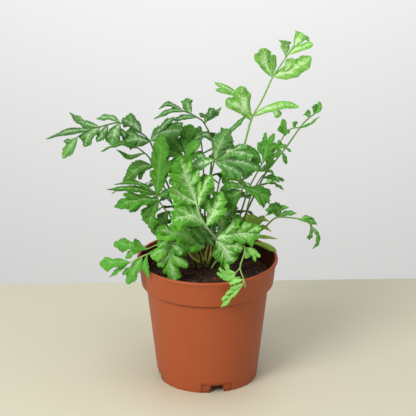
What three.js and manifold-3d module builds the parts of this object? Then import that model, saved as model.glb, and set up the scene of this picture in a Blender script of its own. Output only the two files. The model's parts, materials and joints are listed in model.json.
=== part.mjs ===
// A potted fern: a plastic nursery pot full of potting soil, and a fern whose fronds rise
// from one short crown. Millimetres, +Z up. The origin is the middle of the pot's underside.
import * as THREE from 'three';
import { mergeVertices } from 'three/addons/utils/BufferGeometryUtils.js';
import Module from 'manifold-3d';

const wasm = await Module();
wasm.setup();

// Driving dimensions.
const lipRadius = 54;          // outside of the rolled lip
const potHeight = 97;          // lip top above the surface that the pot stands on
const collarRadius = 50.4;     // outside of the straight collar, at its foot
const collarFoot = 77;         // where the collar starts
const wallTopRadius = 46.2;    // outside of the tapered wall, under the collar
const baseRadius = 38.6;       // outside of the wall just above the surface
const wallThick = 1.4;
const floorTop = 3.8;          // the pot's floor, seen from inside
const soilLevel = 86;
const clearance = 0.3;         // between touching pieces
const crownPlace = { x: -1, y: 12, radius: 5.6 };
const stalkSink = 5;           // how deep a stalk stands in the soil
const bladeThick = 0.7;

// The places of stalks and leaves are read off in the front view, from an eye 1.5 m away and
// 20 degrees above: right and up are on the upright plane through the pot's axis, and toward
// is how far the point then moves along the line of sight to the eye.
const eye = new THREE.Vector3(0, -1406, 659);

function seen([right, up, toward = 0]) {
  const onPlane = new THREE.Vector3(right, 0, up);
  return onPlane.addScaledVector(eye.clone().sub(onPlane).normalize(), toward);
}

// ---- Solids and meshes ----

function solid(geometry) {
  const bare = new THREE.BufferGeometry();
  bare.setAttribute('position', geometry.getAttribute('position'));
  bare.setIndex(geometry.index);
  const merged = mergeVertices(bare, 1e-4);
  return new wasm.Manifold(new wasm.Mesh({
    numProp: 3,
    vertProperties: new Float32Array(merged.attributes.position.array),
    triVerts: new Uint32Array(merged.index.array),
  }));
}

function geometryOf(body) {
  const { vertProperties, triVerts } = body.getMesh();
  const geometry = new THREE.BufferGeometry();
  geometry.setAttribute('position', new THREE.BufferAttribute(new Float32Array(vertProperties), 3));
  geometry.setIndex(new THREE.BufferAttribute(new Uint32Array(triVerts), 1));
  geometry.computeVertexNormals();
  return geometry;
}

// One body out of several that run into each other, with slivers under 0.01 mm closed up. What
// the fusing seals in is filled, and a scrap under 1 cubic mm is dropped.
function fuse(bodies) {
  const joined = bodies.reduce((all, body) => all.add(body)).simplify(0.01);
  const [whole, ...scraps] = joined.decompose().sort((a, b) => b.volume() - a.volume());
  if (scraps.some((scrap) => scrap.volume() > 1)) throw new Error('a leaf is off its stalk');
  return whole;
}

const fern = new THREE.Group();

function place(name, body, color, roughness) {
  const material = new THREE.MeshStandardMaterial({ color, roughness, metalness: 0 });
  const mesh = new THREE.Mesh(geometryOf(body), material);
  mesh.name = name;
  fern.add(mesh);
}

// Rings of points joined in order, with a flat cap at each end.
function ringBody(rings) {
  const around = rings[0].length;
  const position = rings.flat().flatMap((point) => point.toArray());
  const index = [];
  for (let ring = 0; ring < rings.length - 1; ring += 1) {
    for (let side = 0; side < around; side += 1) {
      const next = (side + 1) % around;
      const [a, b] = [ring * around + side, ring * around + next];
      index.push(a, b, b + around, a, b + around, a + around);
    }
  }
  const last = (rings.length - 1) * around;
  for (let side = 1; side < around - 1; side += 1) {
    index.push(0, side + 1, side, last, last + side, last + side + 1);
  }
  const geometry = new THREE.BufferGeometry();
  geometry.setAttribute('position', new THREE.Float32BufferAttribute(position, 3));
  geometry.setIndex(index);
  return solid(geometry);
}

// ---- Pot ----

const potSides = 30;
const notchCount = 4;
const notchTurn = -79;         // degrees round from +X of the notch nearest the front
const notchSlot = { top: 8.7, foot: 12.2, height: 6.3 };
const notchRecess = { top: 23, foot: 25.5, height: 8, depth: 0.7 };

function lathe(outline, sides) {
  return solid(new THREE.LatheGeometry([...outline].reverse().map(([r, z]) => new THREE.Vector2(r, z)), sides)
    .rotateX(Math.PI / 2));
}

// A block with slanted sides, from one radius to another, standing across the wall's foot.
function notchBlock({ top, foot, height }, inner, outer, azimuth) {
  const outline = new THREE.Shape();
  outline.moveTo(-foot / 2 - 0.2, -1);
  outline.lineTo(foot / 2 + 0.2, -1);
  outline.lineTo(top / 2, height);
  outline.lineTo(-top / 2, height);
  outline.closePath();
  const block = new THREE.ExtrudeGeometry(outline, { depth: outer - inner, bevelEnabled: false });
  block.rotateX(Math.PI / 2).rotateZ(Math.PI).translate(0, inner, 0);
  return solid(block.rotateZ(THREE.MathUtils.degToRad(azimuth - 90)));
}

function makePot() {
  const outer = (z) => THREE.MathUtils.mapLinear(z, 2, 70, baseRadius, wallTopRadius);
  const inner = (z) => outer(z) - wallThick;
  let body = lathe([
    [0, floorTop],
    [inner(floorTop), floorTop],
    [inner(collarFoot), collarFoot + 0.2],
    [collarRadius - wallThick, collarFoot + 1.4],
    [lipRadius - 3.4, potHeight - 7],
    [lipRadius - 2.2, potHeight - 1],
    [lipRadius - 1.3, potHeight],
    [lipRadius - 0.3, potHeight - 0.3],
    [lipRadius, potHeight - 1.5],
    [lipRadius - 0.9, potHeight - 2.7],
    [lipRadius - 2, potHeight - 8],
    [collarRadius, collarFoot + 0.4],
    [collarRadius - 0.6, collarFoot - 0.4],
    [outer(collarFoot - 1.6) + 0.3, collarFoot - 1.6],
    [outer(collarFoot - 2.4), collarFoot - 2.4],
    [outer(2), 2],
    [baseRadius - 1.3, 0],
    [baseRadius - 3.6, 0],
    [baseRadius - 4.6, 1.8],
    [6.6, 1.8],
    [6, 0],
    [0, 0],
  ], potSides);
  for (let count = 0; count < notchCount; count += 1) {
    const azimuth = notchTurn + count * 360 / notchCount;
    body = body.subtract(notchBlock(notchRecess, baseRadius - notchRecess.depth, baseRadius + 8, azimuth));
    body = body.subtract(notchBlock(notchSlot, baseRadius - 9, baseRadius + 8, azimuth));
  }
  place('pot', body, '#ad5631', 0.6);
}

// ---- Stalks and blades ----

const holes = [];              // where each stalk enters the soil: x, y and radius

// A round stalk through its points, narrowing from one radius to the other. The facing is a
// direction that it never runs along.
function tube(points, startRadius, endRadius, facing, sides = 4) {
  const rings = points.map((centre, step) => {
    const before = points[Math.max(step - 1, 0)];
    const after = points[Math.min(step + 1, points.length - 1)];
    const along = after.clone().sub(before).normalize();
    const normal = facing.clone().addScaledVector(along, -facing.dot(along)).normalize();
    const across = along.clone().cross(normal);
    const radius = THREE.MathUtils.lerp(startRadius, endRadius, step / (points.length - 1));
    return Array.from({ length: sides }, (_, side) => {
      const angle = side / sides * 2 * Math.PI;
      return centre.clone()
        .addScaledVector(normal, radius * Math.cos(angle))
        .addScaledVector(across, radius * Math.sin(angle));
    });
  });
  return ringBody(rings);
}

// A toothed blade along a midrib. Its sides widen to the peak and are cut into teeth that
// point to the tip, and its face is turned up from the given facing by a tilt in degrees.
function blade(midrib, half, teeth, facing, { tilt = 25, peak = 0.42 } = {}) {
  const curve = new THREE.CatmullRomCurve3(midrib, false, 'centripetal');
  const middle = curve.getPointAt(0.5);
  const stations = [[0, 0.1]];
  const skew = Math.log(0.5) / Math.log(peak);
  const envelope = (share) => Math.sin(Math.PI * share ** skew) ** 0.55;
  for (let tooth = 0; tooth < teeth; tooth += 1) {
    const notch = (tooth + 1) / (teeth + 0.35);
    const point = (tooth + 0.72) / (teeth + 0.35);
    stations.push([point, envelope(point) * 1.03]);
    stations.push([notch, envelope(notch) * 0.78]);
  }
  stations.push([1, 0.14]);
  const turned = THREE.MathUtils.degToRad(tilt);
  const real = half / Math.cos(turned);
  let side = 0;
  const rings = stations.map(([share, width]) => {
    const centre = curve.getPointAt(share);
    const along = curve.getTangentAt(share);
    const toEye = facing(middle);
    const flat = toEye.addScaledVector(along, -toEye.dot(along)).normalize();
    const across = along.clone().cross(flat);
    side ||= across.z + 0.25 * across.x * Math.sign(middle.x) >= 0 ? 1 : -1;
    const normal = flat.clone().multiplyScalar(Math.cos(turned))
      .addScaledVector(across, side * Math.sin(turned));
    const wide = across.multiplyScalar(Math.cos(turned))
      .addScaledVector(flat, -side * Math.sin(turned)).multiplyScalar(Math.max(real * width, 0.35));
    const top = [centre.clone().add(wide), centre.clone().sub(wide)];
    const under = top.map((point) => point.clone().addScaledVector(normal, -bladeThick));
    return [...top, ...under.reverse()];
  });
  return bladeBody(rings);
}

// A blade's rings hold right and left above, then left and right below. Each of its strips is
// split into triangles alike on both faces.
function bladeBody(rings) {
  const position = rings.flat().flatMap((point) => point.toArray());
  const index = [];
  for (let ring = 0; ring < rings.length - 1; ring += 1) {
    const [here, next] = [ring * 4, ring * 4 + 4];
    index.push(here, next, next + 1, here, next + 1, here + 1);
    index.push(here + 3, next + 2, next + 3, here + 3, here + 2, next + 2);
    index.push(here + 1, next + 1, next + 2, here + 1, next + 2, here + 2);
    index.push(here + 3, next + 3, next, here + 3, next, here);
  }
  const last = (rings.length - 1) * 4;
  index.push(0, 1, 2, 0, 2, 3);
  index.push(last, last + 2, last + 1, last, last + 3, last + 2);
  const geometry = new THREE.BufferGeometry();
  geometry.setAttribute('position', new THREE.Float32BufferAttribute(position, 3));
  geometry.setIndex(index);
  return solid(geometry);
}

const fromEye = (point) => eye.clone().sub(point).normalize();

// A stalk that stands in the soil on a ring round the crown, at a bearing in degrees.
function footOf(bearing, distance, radius) {
  const angle = THREE.MathUtils.degToRad(bearing);
  const x = crownPlace.x + distance * Math.cos(angle);
  const y = crownPlace.y + distance * Math.sin(angle);
  holes.push({ x, y, radius });
  return [new THREE.Vector3(x, y, soilLevel - stalkSink), new THREE.Vector3(x, y, soilLevel + 1.5)];
}

// One frond in the front view: its stalk's route, its leaflets, and any side stalks. The lean
// is how far it comes to the eye, more and more, by 100 mm away from the soil's middle.
function frond(name, { foot, lean = 0, stalk, leaves, twigs = [], radius = [0.95, 0.5], color }) {
  const leaning = ([right, up, toward]) => {
    const far = Math.hypot(right, up - soilLevel) / 100;
    return seen([right, up, toward + lean * far ** 1.5]);
  };
  const route = [...footOf(foot[0], foot[1], radius[0]), ...stalk.map(leaning)];
  const parts = [tube(route, radius[0], radius[1], fromEye(route[2]))];
  twigs.forEach((twig) => parts.push(tube(twig.map(leaning), 0.55, 0.45, fromEye(seen(twig[0])))));
  leaves.forEach(({ at, half, teeth, peak }, number) => {
    const tilt = 30 + 16 * Math.sin(number * 2.4);
    parts.push(blade(at.map(leaning), half, teeth, fromEye, { tilt, peak }));
  });
  place(name, fuse(parts), color, 0.55);
}

// Leaf colours.
const deepGreen = '#3f7a34';
const blueGreen = '#4b8440';
const midGreen = '#4f9a38';
const brightGreen = '#5cb146';
const limeGreen = '#8fbf5a';
const oliveGreen = '#8c9637';

// ---- The fronds that the front view shows ----

frond('frond_left_long', {
  foot: [170, 8],
  lean: -14,
  color: blueGreen,
  stalk: [
    [-16, 118, -14], [-27, 148, -12], [-37.5, 174, -9], [-43, 189.5, -7], [-52, 198, -5], [-64.5, 204, -2],
    [-75, 202.5, 1], [-87, 198.5, 3],
  ],
  twigs: [[[-86, 198.8, 3], [-92, 196.5, 5], [-97.5, 192.5, 7]]],
  leaves: [
    { at: [[-43, 190, -7], [-33, 197, -9], [-18, 199, -12]], half: 7, teeth: 4 },
    { at: [[-38, 196, -8], [-31, 204, -11], [-24, 209, -14]], half: 2.8, teeth: 2 },
    { at: [[-49, 195.5, -6], [-55, 203, -8], [-64, 206.5, -6]], half: 5.6, teeth: 2 },
    { at: [[-64.5, 204, -2], [-72, 208.5, -4], [-82.5, 207.5, -6]], half: 2.6, teeth: 2 },
    { at: [[-65, 204, -2], [-69.5, 196, 2], [-71, 186.5, 6]], half: 6.4, teeth: 3 },
    { at: [[-80, 201, 1.5], [-88, 195, 7], [-92, 185.5, 10]], half: 4.4, teeth: 2 },
    { at: [[-74, 202.6, 0.8], [-78, 196, 4], [-83, 189.5, 7]], half: 3.4, teeth: 2 },
    { at: [[-80, 200.8, 2], [-92.5, 204.5, 0], [-102.5, 212.5, -4]], half: 3.2, teeth: 3, peak: 0.36 },
    { at: [[-85, 199.2, 2.8], [-103, 197.5, 4], [-120.5, 191.5, 5]], half: 2.6, teeth: 4 },
    { at: [[-97, 193, 7], [-102, 187, 9], [-108.5, 176.5, 12]], half: 4.4, teeth: 2, peak: 0.42 },
    { at: [[-43, 189.5, -7], [-54, 191.5, -2], [-63, 188, 2]], half: 6.6, teeth: 3 },
  ],
});

frond('frond_left_small', {
  foot: [190, 8],
  lean: 12,
  color: deepGreen,
  stalk: [[-19, 121, -10], [-31, 150, -2], [-41, 170.5, 4], [-44.5, 178, 6], [-54, 186, 8]],
  leaves: [
    { at: [[-52, 184.5, 7.6], [-63, 188.3, 9.5], [-74, 184.5, 11]], half: 2, teeth: 2, peak: 0.4 },
    { at: [[-47, 180.5, 6.6], [-58, 178, 9], [-68, 183, 12]], half: 1.9, teeth: 2 },
    { at: [[-41, 171, 4], [-51.5, 168.5, 2], [-64.5, 155.5, 2]], half: 5.8, teeth: 3, peak: 0.33 },
    { at: [[-45, 171, 3], [-50, 165, 0], [-51.5, 159.5, -2]], half: 3, teeth: 2 },
  ],
});

frond('frond_left_star', {
  foot: [207, 10.2],
  lean: 30,
  color: midGreen,
  stalk: [[-17, 111, -6], [-26.5, 127.5, 5], [-36.5, 142, 9], [-38.5, 149, 9]],
  leaves: [
    { at: [[-38, 147, 9], [-55, 152, 11], [-75.5, 151.5, 13]], half: 2.8, teeth: 4, peak: 0.42 },
    { at: [[-37, 143, 9], [-52, 143, 13], [-70.5, 137.5, 17]], half: 6, teeth: 4 },
    { at: [[-36.5, 142.5, 9], [-42.5, 135, 13], [-43.5, 122.5, 16]], half: 7, teeth: 3 },
    { at: [[-30.5, 134, 5], [-34.8, 126, 4], [-40, 114.5, 3]], half: 7.4, teeth: 3 },
    { at: [[-38, 147, 9], [-36, 170, 8], [-34, 196, 4]], half: 6.6, teeth: 4 },
    { at: [[-38.2, 148, 9], [-54, 157, 8], [-70, 155.5, 7]], half: 1.8, teeth: 4 },
    { at: [[-37.8, 146, 9], [-28, 151, 7], [-19, 151, 5]], half: 2.6, teeth: 2 },
  ],
});

frond('frond_front_left', {
  foot: [225, 8.2],
  color: midGreen,
  stalk: [[-14, 103.5, 3], [-25, 108, 10], [-35, 104.5, 18], [-43, 100, 23], [-50, 97, 26], [-62, 90.5, 30]],
  twigs: [[[-25, 108, 10], [-37, 107, 16], [-47, 102.5, 20]]],
  leaves: [
    { at: [[-45, 103.2, 19.6], [-57, 106, 20], [-71.5, 107.5, 21]], half: 5, teeth: 3, peak: 0.58 },
    { at: [[-47.5, 103, 20], [-52.5, 107.5, 19], [-55.5, 111.5, 18]], half: 2.6, teeth: 1, peak: 0.58 },
    { at: [[-50, 103.5, 20], [-57, 100.5, 22], [-62.5, 95.5, 23]], half: 2.6, teeth: 2 },
    { at: [[-59, 92.5, 29], [-70, 92.5, 31], [-82.5, 91, 33]], half: 5, teeth: 3, peak: 0.58 },
    { at: [[-60.5, 91.5, 29.6], [-68, 86, 32], [-75, 80, 34]], half: 1.8, teeth: 2 },
    { at: [[-49.5, 97.4, 25.8], [-55.5, 87, 30], [-61.5, 74.5, 32]], half: 5.2, teeth: 3 },
    { at: [[-46, 98.6, 24.6], [-48, 90, 32], [-45, 80, 38]], half: 2.6, teeth: 2, peak: 0.58 },
  ],
});

frond('frond_front_low', {
  foot: [245, 8.2],
  color: brightGreen,
  stalk: [[-6, 100, 2], [-13, 106, 10], [-22, 110, 18], [-28, 109.5, 24]],
  leaves: [
    { at: [[-27.5, 110, 23], [-29.5, 99, 28], [-27, 80, 32]], half: 6.8, teeth: 4 },
    { at: [[-28, 106, 25], [-35, 101.5, 28], [-43.5, 97, 29]], half: 5.2, teeth: 2 },
    { at: [[-28, 98.5, 30], [-22, 94, 30.5], [-15, 88.5, 31]], half: 4, teeth: 2, peak: 0.6 },
    { at: [[-4, 104, 4.4], [-12, 111.5, 14], [-24, 116, 28.5], [-39, 112.5, 35]], half: 7.2, teeth: 4 },
    { at: [[-1.5, 105, 5], [-12, 106.5, 12], [-26.5, 102.5, 18]], half: 7.2, teeth: 4 },
  ],
});

frond('frond_centre', {
  foot: [280, 8],
  lean: 30,
  color: brightGreen,
  radius: [1, 0.75],
  stalk: [
    [5.5, 103, 4], [7, 111, 10], [2, 117.5, 14], [-2, 123.5, 16], [-5.5, 129.5, 17], [-8, 139, 16],
    [-9.5, 145, 14],
  ],
  leaves: [
    { at: [[-9, 142, 14.7], [-15.5, 160, 10], [-21, 178, 5]], half: 9.4, teeth: 4 },
    { at: [[-7.5, 137, 16.2], [-4, 151, 12], [3, 163, 8]], half: 5.6, teeth: 3 },
    { at: [[-8, 140, 15.8], [-18, 146, 16], [-29, 147, 16]], half: 6, teeth: 2 },
    { at: [[-2, 123.5, 16], [-13, 130.5, 19], [-27.5, 125.5, 22]], half: 8.8, teeth: 4 },
    { at: [[-1, 122, 15.6], [5.5, 134, 13], [11, 150, 9]], half: 7, teeth: 4 },
    { at: [[6.5, 111.5, 10.4], [22, 116, 10], [40, 114.5, 8]], half: 8.4, teeth: 4 },
    { at: [[6.5, 110.5, 9.6], [13, 103.5, 14], [20, 92, 18]], half: 9.6, teeth: 4 },
  ],
});

frond('frond_centre_right', {
  foot: [318, 8.2],
  lean: 28,
  color: midGreen,
  stalk: [[10, 110, -8], [17, 128, -6], [23.5, 144, -3], [27, 154, -2], [26.5, 160, -3]],
  leaves: [
    { at: [[26, 150.5, -2], [19.5, 146, 1], [11.5, 137, 3]], half: 8, teeth: 3 },
    { at: [[26.5, 153, -2], [18, 155.5, -1], [9.5, 151, 0]], half: 3, teeth: 2 },
    { at: [[26.6, 157.5, -2.6], [19, 163, -5], [11, 157, -7]], half: 5, teeth: 2 },
    { at: [[26.5, 153.5, -2], [36, 150, 0], [47.5, 142.5, 2]], half: 7.2, teeth: 4, peak: 0.46 },
    { at: [[26.4, 159, -3], [31, 167, -8], [38, 176, -12]], half: 5.6, teeth: 2 },
    { at: [[18, 130.5, -6], [20, 127, -9], [15, 118, -12]], half: 6.8, teeth: 3 },
  ],
});

frond('frond_upper_centre', {
  foot: [262, 10.2],
  lean: 22,
  color: blueGreen,
  stalk: [[0, 108, -3], [0.5, 130, -2], [1.6, 155, 3], [5.5, 176, 7]],
  leaves: [
    { at: [[5.5, 175, 6.8], [8.5, 186, 5], [16, 199, 2.5]], half: 7.4, teeth: 4, peak: 0.42 },
    { at: [[9.5, 188.5, 4], [17, 198, 2], [23, 204, 0], [29, 210.5, -2]], half: 2, teeth: 3 },
    { at: [[5.5, 175, 6.8], [17, 182, 8], [35, 178, 9]], half: 5.4, teeth: 3 },
    { at: [[5.4, 174, 6.6], [14, 170.5, 10], [26.5, 163, 12]], half: 5, teeth: 3 },
    { at: [[5.3, 175, 6.8], [-4, 172.5, 3], [-14, 165.5, -3]], half: 5.4, teeth: 3 },
    { at: [[5.5, 175.5, 6.8], [22, 173.5, 5], [39, 168.5, 3]], half: 4.8, teeth: 4 },
  ],
});

frond('frond_top_centre', {
  foot: [58, 8],
  lean: -12,
  color: deepGreen,
  stalk: [
    [4, 122, -24], [1.5, 150, -23], [3, 172, -22], [4.5, 188, -21], [-2.5, 204, -20], [-7, 208, -20],
    [-12, 211, -20], [-18, 213.5, -20],
  ],
  leaves: [
    { at: [[-2.2, 203.5, -20], [-1.5, 208, -20], [-6, 211.8, -20]], half: 2.2, teeth: 1 },
    { at: [[-2.2, 203.5, -20], [1.5, 210.5, -21], [4.5, 216, -22]], half: 3.6, teeth: 2, peak: 0.6 },
    { at: [[-1, 205.5, -20], [6, 211.5, -20], [10.3, 216.3, -21]], half: 2.2, teeth: 1 },
    { at: [[-12, 211, -20], [-14.5, 216.5, -22], [-15.5, 223.5, -24]], half: 4.6, teeth: 1, peak: 0.54 },
    { at: [[-17, 213.2, -20], [-29, 219, -18], [-36, 215, -17]], half: 1.9, teeth: 2 },
    { at: [[-17, 213.2, -20], [-27, 213.8, -17], [-39.8, 207.3, -14]], half: 2.1, teeth: 3 },
    { at: [[-8, 208.7, -20], [-16, 209, -20], [-26, 206.2, -20]], half: 2.4, teeth: 2 },
    { at: [[4.4, 189.5, -21], [-1, 195, -21], [-10, 191.5, -20]], half: 3.2, teeth: 2 },
  ],
});

frond('frond_back_dark', {
  foot: [113, 8.4],
  lean: -10,
  color: deepGreen,
  stalk: [[-7, 115, -27], [-12, 145, -30], [-16, 172, -32], [-17.5, 184, -32]],
  leaves: [
    { at: [[-17, 181, -32], [-25, 190, -33], [-31, 199, -34]], half: 5.8, teeth: 2 },
    { at: [[-17.4, 183, -32], [-15, 194, -34], [-12, 203, -37]], half: 6.2, teeth: 3, peak: 0.55 },
    { at: [[-16.6, 177, -32], [-12.5, 184, -29], [-5.5, 189.5, -27]], half: 4.2, teeth: 2, peak: 0.55 },
    { at: [[-16.2, 174, -32], [-10, 178.5, -30], [-3, 177, -28]], half: 3.4, teeth: 2 },
    { at: [[-16.5, 176, -32], [-26, 181, -31], [-35, 178, -30]], half: 5, teeth: 2 },
  ],
});

frond('frond_tall_right', {
  foot: [42, 10.4],
  lean: -12,
  color: limeGreen,
  radius: [1, 0.6],
  stalk: [
    [8, 115, -20], [15, 145, -17], [22, 170, -13], [28, 188.5, -9], [33, 207.5, -6], [39.5, 220, -4],
    [44.5, 231, -3], [48.5, 240, -2], [58, 255, 0], [64, 264.5, 0],
  ],
  leaves: [
    { at: [[48, 239.5, -2], [43, 250, -3], [41, 262, -5]], half: 5.8, teeth: 3, peak: 0.6 },
    { at: [[48, 240, -2], [48.6, 248, -3], [49, 257, -4]], half: 3, teeth: 2, peak: 0.66 },
    { at: [[48.7, 240.3, -2], [62.5, 245.5, 0], [76.5, 255, 2]], half: 6.2, teeth: 4, peak: 0.46 },
    { at: [[57.6, 255, 0], [57.6, 261, -1], [57.8, 267.6, -2]], half: 4.2, teeth: 1, peak: 0.66 },
    { at: [[59.5, 257.4, 0], [67.5, 261.8, 2], [77.5, 265.5, 3]], half: 2.8, teeth: 2 },
    { at: [[63.5, 263, 0], [66.5, 268.5, 0], [69.6, 274.9, 0]], half: 4.9, teeth: 1, peak: 0.56 },
    { at: [[69, 271.5, 0], [72.5, 270, 0.5], [74.8, 267.2, 1]], half: 1.4, teeth: 1 },
    { at: [[32.5, 206.2, -6], [28, 216, -6], [24.5, 232.8, -8]], half: 6, teeth: 3, peak: 0.54 },
    { at: [[30, 210.5, -6], [22.5, 217.5, -4], [13.5, 222, -3]], half: 4.8, teeth: 2 },
    { at: [[27.5, 217, -6], [18, 229, -7], [5.5, 235.5, -8]], half: 2.2, teeth: 3 },
    { at: [[34, 209.5, -5.6], [44, 214.8, -3], [57, 218.3, -1], [68, 216.8, 1]], half: 3, teeth: 4 },
    { at: [[48, 216, -2.3], [51, 213, -1], [54, 209.3, 0]], half: 3, teeth: 1 },
    { at: [[33.4, 206, -5], [32, 209, -4], [29.5, 211.5, -3]], half: 2.8, teeth: 1 },
  ],
});

frond('frond_right_thin', {
  foot: [357, 8.2],
  lean: 8,
  color: midGreen,
  stalk: [
    [17, 113, -14], [25, 122, -12], [32, 139, -10], [37.4, 151, -8], [43.3, 163.5, -7], [50, 173, -6],
    [59.5, 186, -4], [69.5, 201, -2], [74.5, 207, -1], [80.5, 212, 0],
  ],
  twigs: [
    [[69, 200.4, -2], [64, 200, -4], [59, 198, -6]],
    [[43.3, 163.5, -7], [45.5, 173, -9], [50.5, 182.5, -9], [55.5, 191, -8], [58.6, 197.2, -7]],
    [[29, 131, -11], [31.5, 142, -14], [35, 151, -14], [40, 160.5, -11], [43.3, 164, -7.2]],
  ],
  leaves: [
    { at: [[76, 208.4, -1.2], [75, 210.5, -2], [73, 212.5, -2]], half: 2.8, teeth: 1 },
    { at: [[79.5, 211.2, -0.2], [80, 215, -1], [79, 218, -1]], half: 2.4, teeth: 1 },
    { at: [[80, 211.6, 0], [83.5, 216, 0], [82.3, 221, -1]], half: 1.6, teeth: 1 },
    { at: [[69, 200.3, -2], [77, 204, 0], [83, 209, 2]], half: 1, teeth: 1 },
    { at: [[65, 200.2, -4], [65, 202.5, -4], [65.8, 205.4, -4]], half: 1.9, teeth: 1 },
    { at: [[58.4, 197, -7], [57.4, 202, -7], [55.8, 207, -7]], half: 2.2, teeth: 1 },
    { at: [[57.6, 195.4, -7.3], [55.5, 198.6, -7.6], [53.6, 201.6, -8]], half: 2.1, teeth: 1 },
    { at: [[50.5, 182.5, -9], [53, 186.5, -10], [53.6, 191, -11]], half: 2.3, teeth: 1 },
    { at: [[52, 185, -8.6], [55.5, 186, -8], [59.5, 184.8, -7]], half: 2, teeth: 1 },
    { at: [[47.5, 177, -9], [51, 179, -8], [55, 183.5, -8]], half: 2.2, teeth: 1 },
    { at: [[56, 181.5, -4.8], [57.7, 177.5, -3], [59.6, 172, -2]], half: 1.7, teeth: 1 },
    { at: [[44, 167.5, -8], [46.2, 172.5, -7], [48.5, 178, -5]], half: 3.6, teeth: 1 },
    { at: [[42, 161, -7.3], [47.5, 161.5, -5], [54.5, 157.6, -3]], half: 1.8, teeth: 1 },
  ],
});

frond('frond_right_fan', {
  foot: [27, 8],
  lean: -8,
  color: midGreen,
  stalk: [[20, 116, -20], [26, 135, -18], [31, 151.5, -16], [37.5, 165, -15], [42, 173.5, -15]],
  leaves: [
    { at: [[41.6, 172.8, -15], [44, 181, -16], [44.5, 191, -18]], half: 5.4, teeth: 2, peak: 0.6 },
    { at: [[41, 171.6, -15], [36.5, 179, -17], [29, 187.5, -19]], half: 3.2, teeth: 2 },
    { at: [[38, 166, -15], [41.5, 168, -14], [44, 171, -14]], half: 2, teeth: 1 },
  ],
});

frond('frond_right_droop', {
  foot: [338, 10.2],
  lean: 28,
  color: midGreen,
  stalk: [
    [18, 106, -12], [30, 111, -14], [41.5, 119, -14], [49.5, 127, -13], [54, 129.2, -12], [62, 128.8, -11],
    [70, 127.5, -10], [77, 124.5, -9], [79.5, 121, -9],
  ],
  leaves: [
    { at: [[53.5, 129, -12], [50.5, 135.5, -13], [43.6, 135, -13]], half: 3.2, teeth: 1 },
    { at: [[54.5, 129.2, -12], [54, 135, -13], [48.5, 140.5, -13]], half: 3.4, teeth: 1 },
    { at: [[54, 129.5, -12], [60, 132.4, -13], [67.6, 132.4, -13]], half: 2.2, teeth: 1 },
    { at: [[69, 127.5, -10], [76, 127.4, -11], [83.4, 123.6, -10]], half: 2.6, teeth: 2 },
    { at: [[78.5, 122.5, -9], [78.8, 117, -8], [77.5, 110.6, -8]], half: 2.2, teeth: 1, peak: 0.6 },
    {
      at: [[79.3, 121.6, -9], [84.6, 115.5, -8], [85.5, 108.5, -8], [80.2, 103.4, -8]],
      half: 1.9, teeth: 2, peak: 0.42,
    },
  ],
});

frond('frond_right_aged', {
  foot: [13, 10.4],
  color: oliveGreen,
  stalk: [[15, 104, -19], [25, 109, -22], [33, 115, -26], [37, 121, -29]],
  leaves: [
    { at: [[33.6, 115.8, -26.4], [32, 123, -28.4], [34.5, 131.5, -31]], half: 6, teeth: 2 },
    { at: [[36.8, 120.6, -28.8], [41.5, 127, -30], [47, 126, -30]], half: 1.7, teeth: 1 },
    { at: [[36, 119, -28.2], [42.5, 121.5, -28], [48.5, 117.6, -27]], half: 1.6, teeth: 1 },
    { at: [[29, 111.8, -24], [41, 113.5, -24], [52.8, 111.6, -22]], half: 1.6, teeth: 3 },
    { at: [[25.6, 109.4, -22.3], [41, 107.3, -17], [53, 101.6, -9]], half: 2.5, teeth: 3, peak: 0.72 },
  ],
});

frond('frond_front_right', {
  foot: [298, 10.2],
  color: limeGreen,
  radius: [0.85, 0.4],
  stalk: [
    [14, 101, -4], [23, 106.5, 6], [28.5, 104.5, 18], [27.5, 97, 30], [25, 88, 40], [27.5, 79, 54],
    [27.5, 74.5, 57], [23.5, 68.5, 60], [15, 60.5, 62],
  ],
  twigs: [
    [[25, 87.5, 40.6], [22.5, 84.5, 43], [20, 82.5, 44]],
    [[27.5, 79, 54], [28.5, 76, 55.5], [29.3, 71.5, 57]],
  ],
  leaves: [
    { at: [[21.5, 83.6, 43.4], [16.8, 85.5, 43], [14.8, 91.2, 42]], half: 2.3, teeth: 1, peak: 0.6 },
    { at: [[21, 83.2, 43.6], [14, 83.5, 44], [8.7, 87.6, 44]], half: 2.1, teeth: 1, peak: 0.6 },
    { at: [[20.5, 82.8, 43.8], [13.5, 81, 46], [7.2, 83.6, 47]], half: 2.2, teeth: 1 },
    { at: [[22.3, 84.2, 43.2], [17.5, 80.2, 46], [11.8, 78.6, 47]], half: 2.8, teeth: 1 },
    { at: [[27.4, 78, 55], [22, 76.8, 57], [16.8, 74.6, 59]], half: 2.4, teeth: 1 },
    { at: [[27.2, 74.6, 57], [22.5, 72.3, 58], [17.3, 70.3, 59]], half: 2.2, teeth: 1 },
    { at: [[26, 72, 58], [19.5, 65.8, 60.5], [10.5, 55.1, 62.9]], half: 2.3, teeth: 2 },
    { at: [[28.4, 103.8, 19], [30, 99.5, 22], [30.5, 95.5, 24]], half: 2.8, teeth: 1, peak: 0.6 },
    { at: [[28.8, 104.2, 17], [34.5, 99.5, 21], [36.8, 93.5, 24]], half: 1.9, teeth: 1, peak: 0.6 },
    { at: [[28.4, 104.6, 16], [35, 102, 19], [40.5, 97, 22]], half: 2.1, teeth: 1, peak: 0.6 },
  ],
});

// ---- The fronds behind, which lean back over the pot's far side ----

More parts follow.
